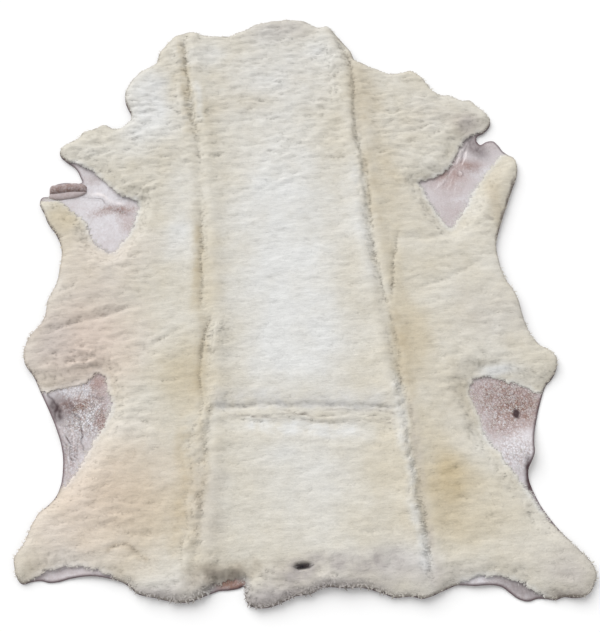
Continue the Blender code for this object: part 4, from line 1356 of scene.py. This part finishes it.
def wool_colour_group():
    """The wool's colour from its tints and its painted shade, with the mottling that all of the fleece has.
    """
    inputs = [(name.title(), "NodeSocketFloat", 0.0) for name in WOOL_TINTS]
    outputs = [("Color", "NodeSocketColor"), ("Grain", "NodeSocketFloat")]
    group, given, out = new_group("wool_colour", inputs, outputs)
    place = node(group, "ShaderNodeTexCoord").outputs["Object"]
    broad = noise(group, place, (1, 1, 1), 14, 4)
    streaks = noise(group, place, (70, 330, 60), 1, 3)
    rows = noise(group, place, (26, 110, 20), 1, 3)
    fine = noise(group, place, (1, 1, 1), 520, 2)
    cream = maths(group, "ADD", given.outputs["Cream"], spread(group, broad, 0.3, 0.7, -0.20, 0.20), True)
    colour = mixed(group, cream, COOL_WHITE, CREAM)
    tan = maths(group, "MULTIPLY", given.outputs["Tan"], spread(group, broad, 0.25, 0.75, 0.7, 1.2), True)
    colour = mixed(group, tan, colour, TAN)
    colour = mixed(group, given.outputs["Rosy"], colour, ROSE)
    # Grey: partly the wool's own greyer tone, partly painted shade.
    colour = mixed(group, given.outputs["Grey"], colour, GREY_TONE_AND_SHADE)
    # Painted shade.
    colour = mixed(group, given.outputs["Shade"], colour, ROOT_SHADE)
    colour = mixed(group, given.outputs["Slit"], colour, SLIT_SHADOW)
    streaked = spread(group, streaks, 0.3, 0.7, 0.935, 1.03)
    variation = maths(group, "ADD", streaked, spread(group, rows, 0.3, 0.7, -0.035, 0.03))
    variation = maths(group, "ADD", variation, spread(group, fine, 0.3, 0.7, -0.035, 0.035))
    variation = maths(group, "ADD", variation, spread(group, given.outputs["Tuft"], 0, 1, -0.05, 0.05))
    tone = node(group, "ShaderNodeCombineColor", {"Red": variation, "Green": variation, "Blue": variation})
    colour = mixed(group, 1.0, colour, tone.outputs[0], "MULTIPLY")
    group.links.new(colour, out.inputs["Color"])
    grain = maths(group, "ADD", streaks, maths(group, "MULTIPLY", fine, 0.6))
    group.links.new(grain, out.inputs["Grain"])
    return group


def shader_material(name, roughness, sheen):
    material = bpy.data.materials.new(name)
    material.use_nodes = True
    tree = material.node_tree
    shader = tree.nodes["Principled BSDF"]
    shader.inputs["Roughness"].default_value = roughness
    shader.inputs["Sheen Weight"].default_value = sheen
    shader.inputs["Sheen Roughness"].default_value = 0.5
    shader.inputs["Specular IOR Level"].default_value = 0.2
    return material, tree, shader


def wool_material(name, colour_group, bump):
    material, tree, shader = shader_material(name, 0.9, 0.12)
    tints = {label.title(): attribute(tree, label) for label in WOOL_TINTS}
    wool = tree.nodes.new("ShaderNodeGroup")
    wool.node_tree = colour_group
    for label, socket in tints.items():
        tree.links.new(socket, wool.inputs[label])
    tree.links.new(wool.outputs["Color"], shader.inputs["Base Color"])
    if bump:
        inputs = {"Strength": 0.6, "Distance": bump, "Height": wool.outputs["Grain"]}
        bumps = node(tree, "ShaderNodeBump", inputs)
        tree.links.new(bumps.outputs[0], shader.inputs["Normal"])
    return material


SKIN_PALE = srgb(203, 196, 198)
SKIN_WHITE = srgb(226, 225, 230)
SKIN_PINK = srgb(186, 160, 157)
SKIN_BROWN = srgb(146, 116, 104)
SKIN_DARK = srgb(66, 50, 52)
SUEDE = srgb(214, 203, 190)
SUEDE_PALE = srgb(226, 218, 208)
CREASE_BRIGHT = srgb(240, 232, 232)
EDGE_DARK = srgb(98, 78, 82)


def skin_group():
    """Bare leather's colour: pale, with pink and brown patches, pores, creases and white flecks, and painted
    shade in its creases, at its cut edge, in the slit and in shaded places.
    """
    names = ("Pink", "Brown", "White", "Grain", "Line", "Flesh Side", "Rim", "Dark_Marks_And_Shade")
    inputs = [(name, "NodeSocketFloat", 0.0) for name in names]
    outputs = [("Color", "NodeSocketColor"), ("Bumps", "NodeSocketFloat")]
    group, given, out = new_group("skin_colour", inputs, outputs)
    place = node(group, "ShaderNodeTexCoord").outputs["Object"]
    grain = given.outputs["Grain"]
    blotch = noise(group, place, (1, 1, 1), 70, 5, 0.62)
    speck = noise(group, place, (1.3, 1, 1), 230, 4, 0.66)
    cells = {"Vector": place, "Scale": 240.0}
    creases = node(group, "ShaderNodeTexVoronoi", cells, feature="DISTANCE_TO_EDGE").outputs["Distance"]
    pore = node(group, "ShaderNodeTexVoronoi", {"Vector": place, "Scale": 900.0}).outputs["Distance"]
    pink = maths(group, "MULTIPLY", given.outputs["Pink"], spread(group, blotch, 0.35, 0.62, 0.6, 1.2), True)
    patchy = spread(group, blotch, 0.38, 0.62, 0.35, 1.2)
    brown = maths(group, "MULTIPLY", given.outputs["Brown"], patchy, True)
    colour = mixed(group, pink, SKIN_PALE, SKIN_PINK)
    colour = mixed(group, brown, colour, SKIN_BROWN)
    flecks = maths(group, "MULTIPLY", spread(group, speck, 0.42, 0.60, -0.8, 0.9), grain)
    veil = spread(group, blotch, 0.35, 0.62, -0.18, 0.18)
    white = maths(group, "ADD", given.outputs["White"], maths(group, "ADD", flecks, veil), True)
    colour = mixed(group, white, colour, SKIN_WHITE)
    dark_speck = maths(group, "MULTIPLY", spread(group, speck, 0.36, 0.47, 0.7, 0.0), grain, True)
    colour = mixed(group, dark_speck, colour, SKIN_BROWN)
    # Painted shade in a fine net of creases.
    crease_shade = maths(group, "MULTIPLY", spread(group, creases, 0.0, 0.20, 0.60, 0.0), grain)
    colour = mixed(group, crease_shade, colour, SKIN_DARK)
    # Creases from SKIN_LINES: dark ones partly painted shade, pale ones lighter.
    colour = mixed(group, maths(group, "MAXIMUM", given.outputs["Line"], 0.0), colour, SKIN_DARK)
    bright_line = maths(group, "MULTIPLY", given.outputs["Line"], -1.0, True)
    colour = mixed(group, bright_line, colour, CREASE_BRIGHT)
    # The skin's dark marks, and painted shadow in the slit and in shaded places.
    colour = mixed(group, given.outputs["Dark_Marks_And_Shade"], colour, SKIN_DARK)
    suede = mixed(group, spread(group, blotch, 0.3, 0.7), SUEDE, SUEDE_PALE)
    colour = mixed(group, given.outputs["Flesh Side"], colour, suede)
    # The cut edge's dark: partly the leather's own edge colour and partly painted shade.
    colour = mixed(group, given.outputs["Rim"], colour, EDGE_DARK)
    group.links.new(colour, out.inputs["Color"])
    bumps = maths(group, "ADD", maths(group, "MULTIPLY", speck, grain), maths(group, "MULTIPLY", pore, 0.3))
    group.links.new(bumps, out.inputs["Bumps"])
    return group


def skin_material(name, colour_group):
    """Leather with the skin's colours, read from the piece's attributes."""
    material, tree, shader = shader_material(name, 0.62, 0.05)
    skin = tree.nodes.new("ShaderNodeGroup")
    skin.node_tree = colour_group
    for socket in skin.inputs:
        tree.links.new(attribute(tree, socket.name.lower().replace(" ", "_")), socket)
    tree.links.new(skin.outputs["Color"], shader.inputs["Base Color"])
    inputs = {"Strength": 0.5, "Distance": 0.5 * MM, "Height": skin.outputs["Bumps"]}
    bumps = node(tree, "ShaderNodeBump", inputs)
    tree.links.new(bumps.outputs[0], shader.inputs["Normal"])
    return material


def plain_material(name, colour, roughness):
    material, _, shader = shader_material(name, roughness, 0)
    shader.inputs["Base Color"].default_value = colour
    return material


# Stage


def add_floor():
    bpy.ops.mesh.primitive_plane_add(size=12, location=(0, 0, -0.0002))
    floor = bpy.context.object
    floor.name = "floor"
    floor.data.materials.append(plain_material("pale floor", srgb(250, 250, 250), 0.9))


def add_sun(place, strength, spread_angle):
    """A broad far light that shines from that direction to the pelt."""
    light = bpy.data.lights.new("sun", "SUN")
    light.energy = strength
    light.angle = spread_angle
    lamp = bpy.data.objects.new("sun", light)
    lamp.location = place
    lamp.rotation_mode = "QUATERNION"
    lamp.rotation_quaternion = (-Vector(place)).to_track_quat("-Z", "Y")
    bpy.context.scene.collection.objects.link(lamp)


def add_world(strength):
    world = bpy.data.worlds.new("studio")
    world.use_nodes = True
    background = world.node_tree.nodes["Background"]
    background.inputs["Color"].default_value = (1, 1, 1, 1)
    background.inputs["Strength"].default_value = strength
    bpy.context.scene.world = world


def add_camera():
    data = bpy.data.cameras.new("camera")
    data.sensor_width = SENSOR
    data.lens = FOCAL_PIXELS * SENSOR / IMAGE_LONG_SIDE
    camera = bpy.data.objects.new("camera", data)
    camera.location = CAMERA_PLACE
    camera.rotation_euler = (math.pi / 2 - CAMERA_DIP, 0, CAMERA_TURN)
    bpy.context.scene.collection.objects.link(camera)
    bpy.context.scene.camera = camera


def add_stage():
    add_camera()
    add_floor()
    add_world(WORLD_STRENGTH)
    add_sun(SUN_PLACE, SUN_STRENGTH, SUN_SPREAD)
    bpy.context.scene.view_settings.view_transform = "Standard"


def dress(piece, material):
    piece.data.materials.clear()
    piece.data.materials.append(material)
    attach(piece, "root")


def build():
    tree, rim, slit_rim = solid_shape()
    outline = smooth_line(rim, OUTLINE_STEP, True)
    slit = smooth_line(slit_rim, OUTLINE_STEP, True)
    solid = read_solid(tree, outline)
    pelt_fields(solid, outline)
    wool_colour = wool_colour_group()
    body_wool = wool_material("fleece wool", wool_colour, 0.9 * MM)
    lock_wool = wool_material("lock wool", wool_colour, 0)
    skin = skin_material("bare leather", skin_group())
    leather, area = hide(solid, outline, slit)
    dress(leather, skin)
    body = fleece(solid)
    dress(body, body_wool)
    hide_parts(NODE)
    flap = flap_roll(solid)
    dress(flap, skin)
    locks = [
        nap("nap_neck_to_tail", solid, outline, NAP_SPACING, 101),
        nap("nap_between", solid, outline, NAP_SPACING, 202),
        nap("nap_over", solid, outline, NAP_SPACING, 303),
        rim_tufts(solid, outline, 404),
        ridge_locks(solid, 707),
        pit_fringe(solid, outline, 505),
        stubble(solid, outline, 606),
    ]
    for piece in locks:
        dress(piece, lock_wool)


add_stage()
build()
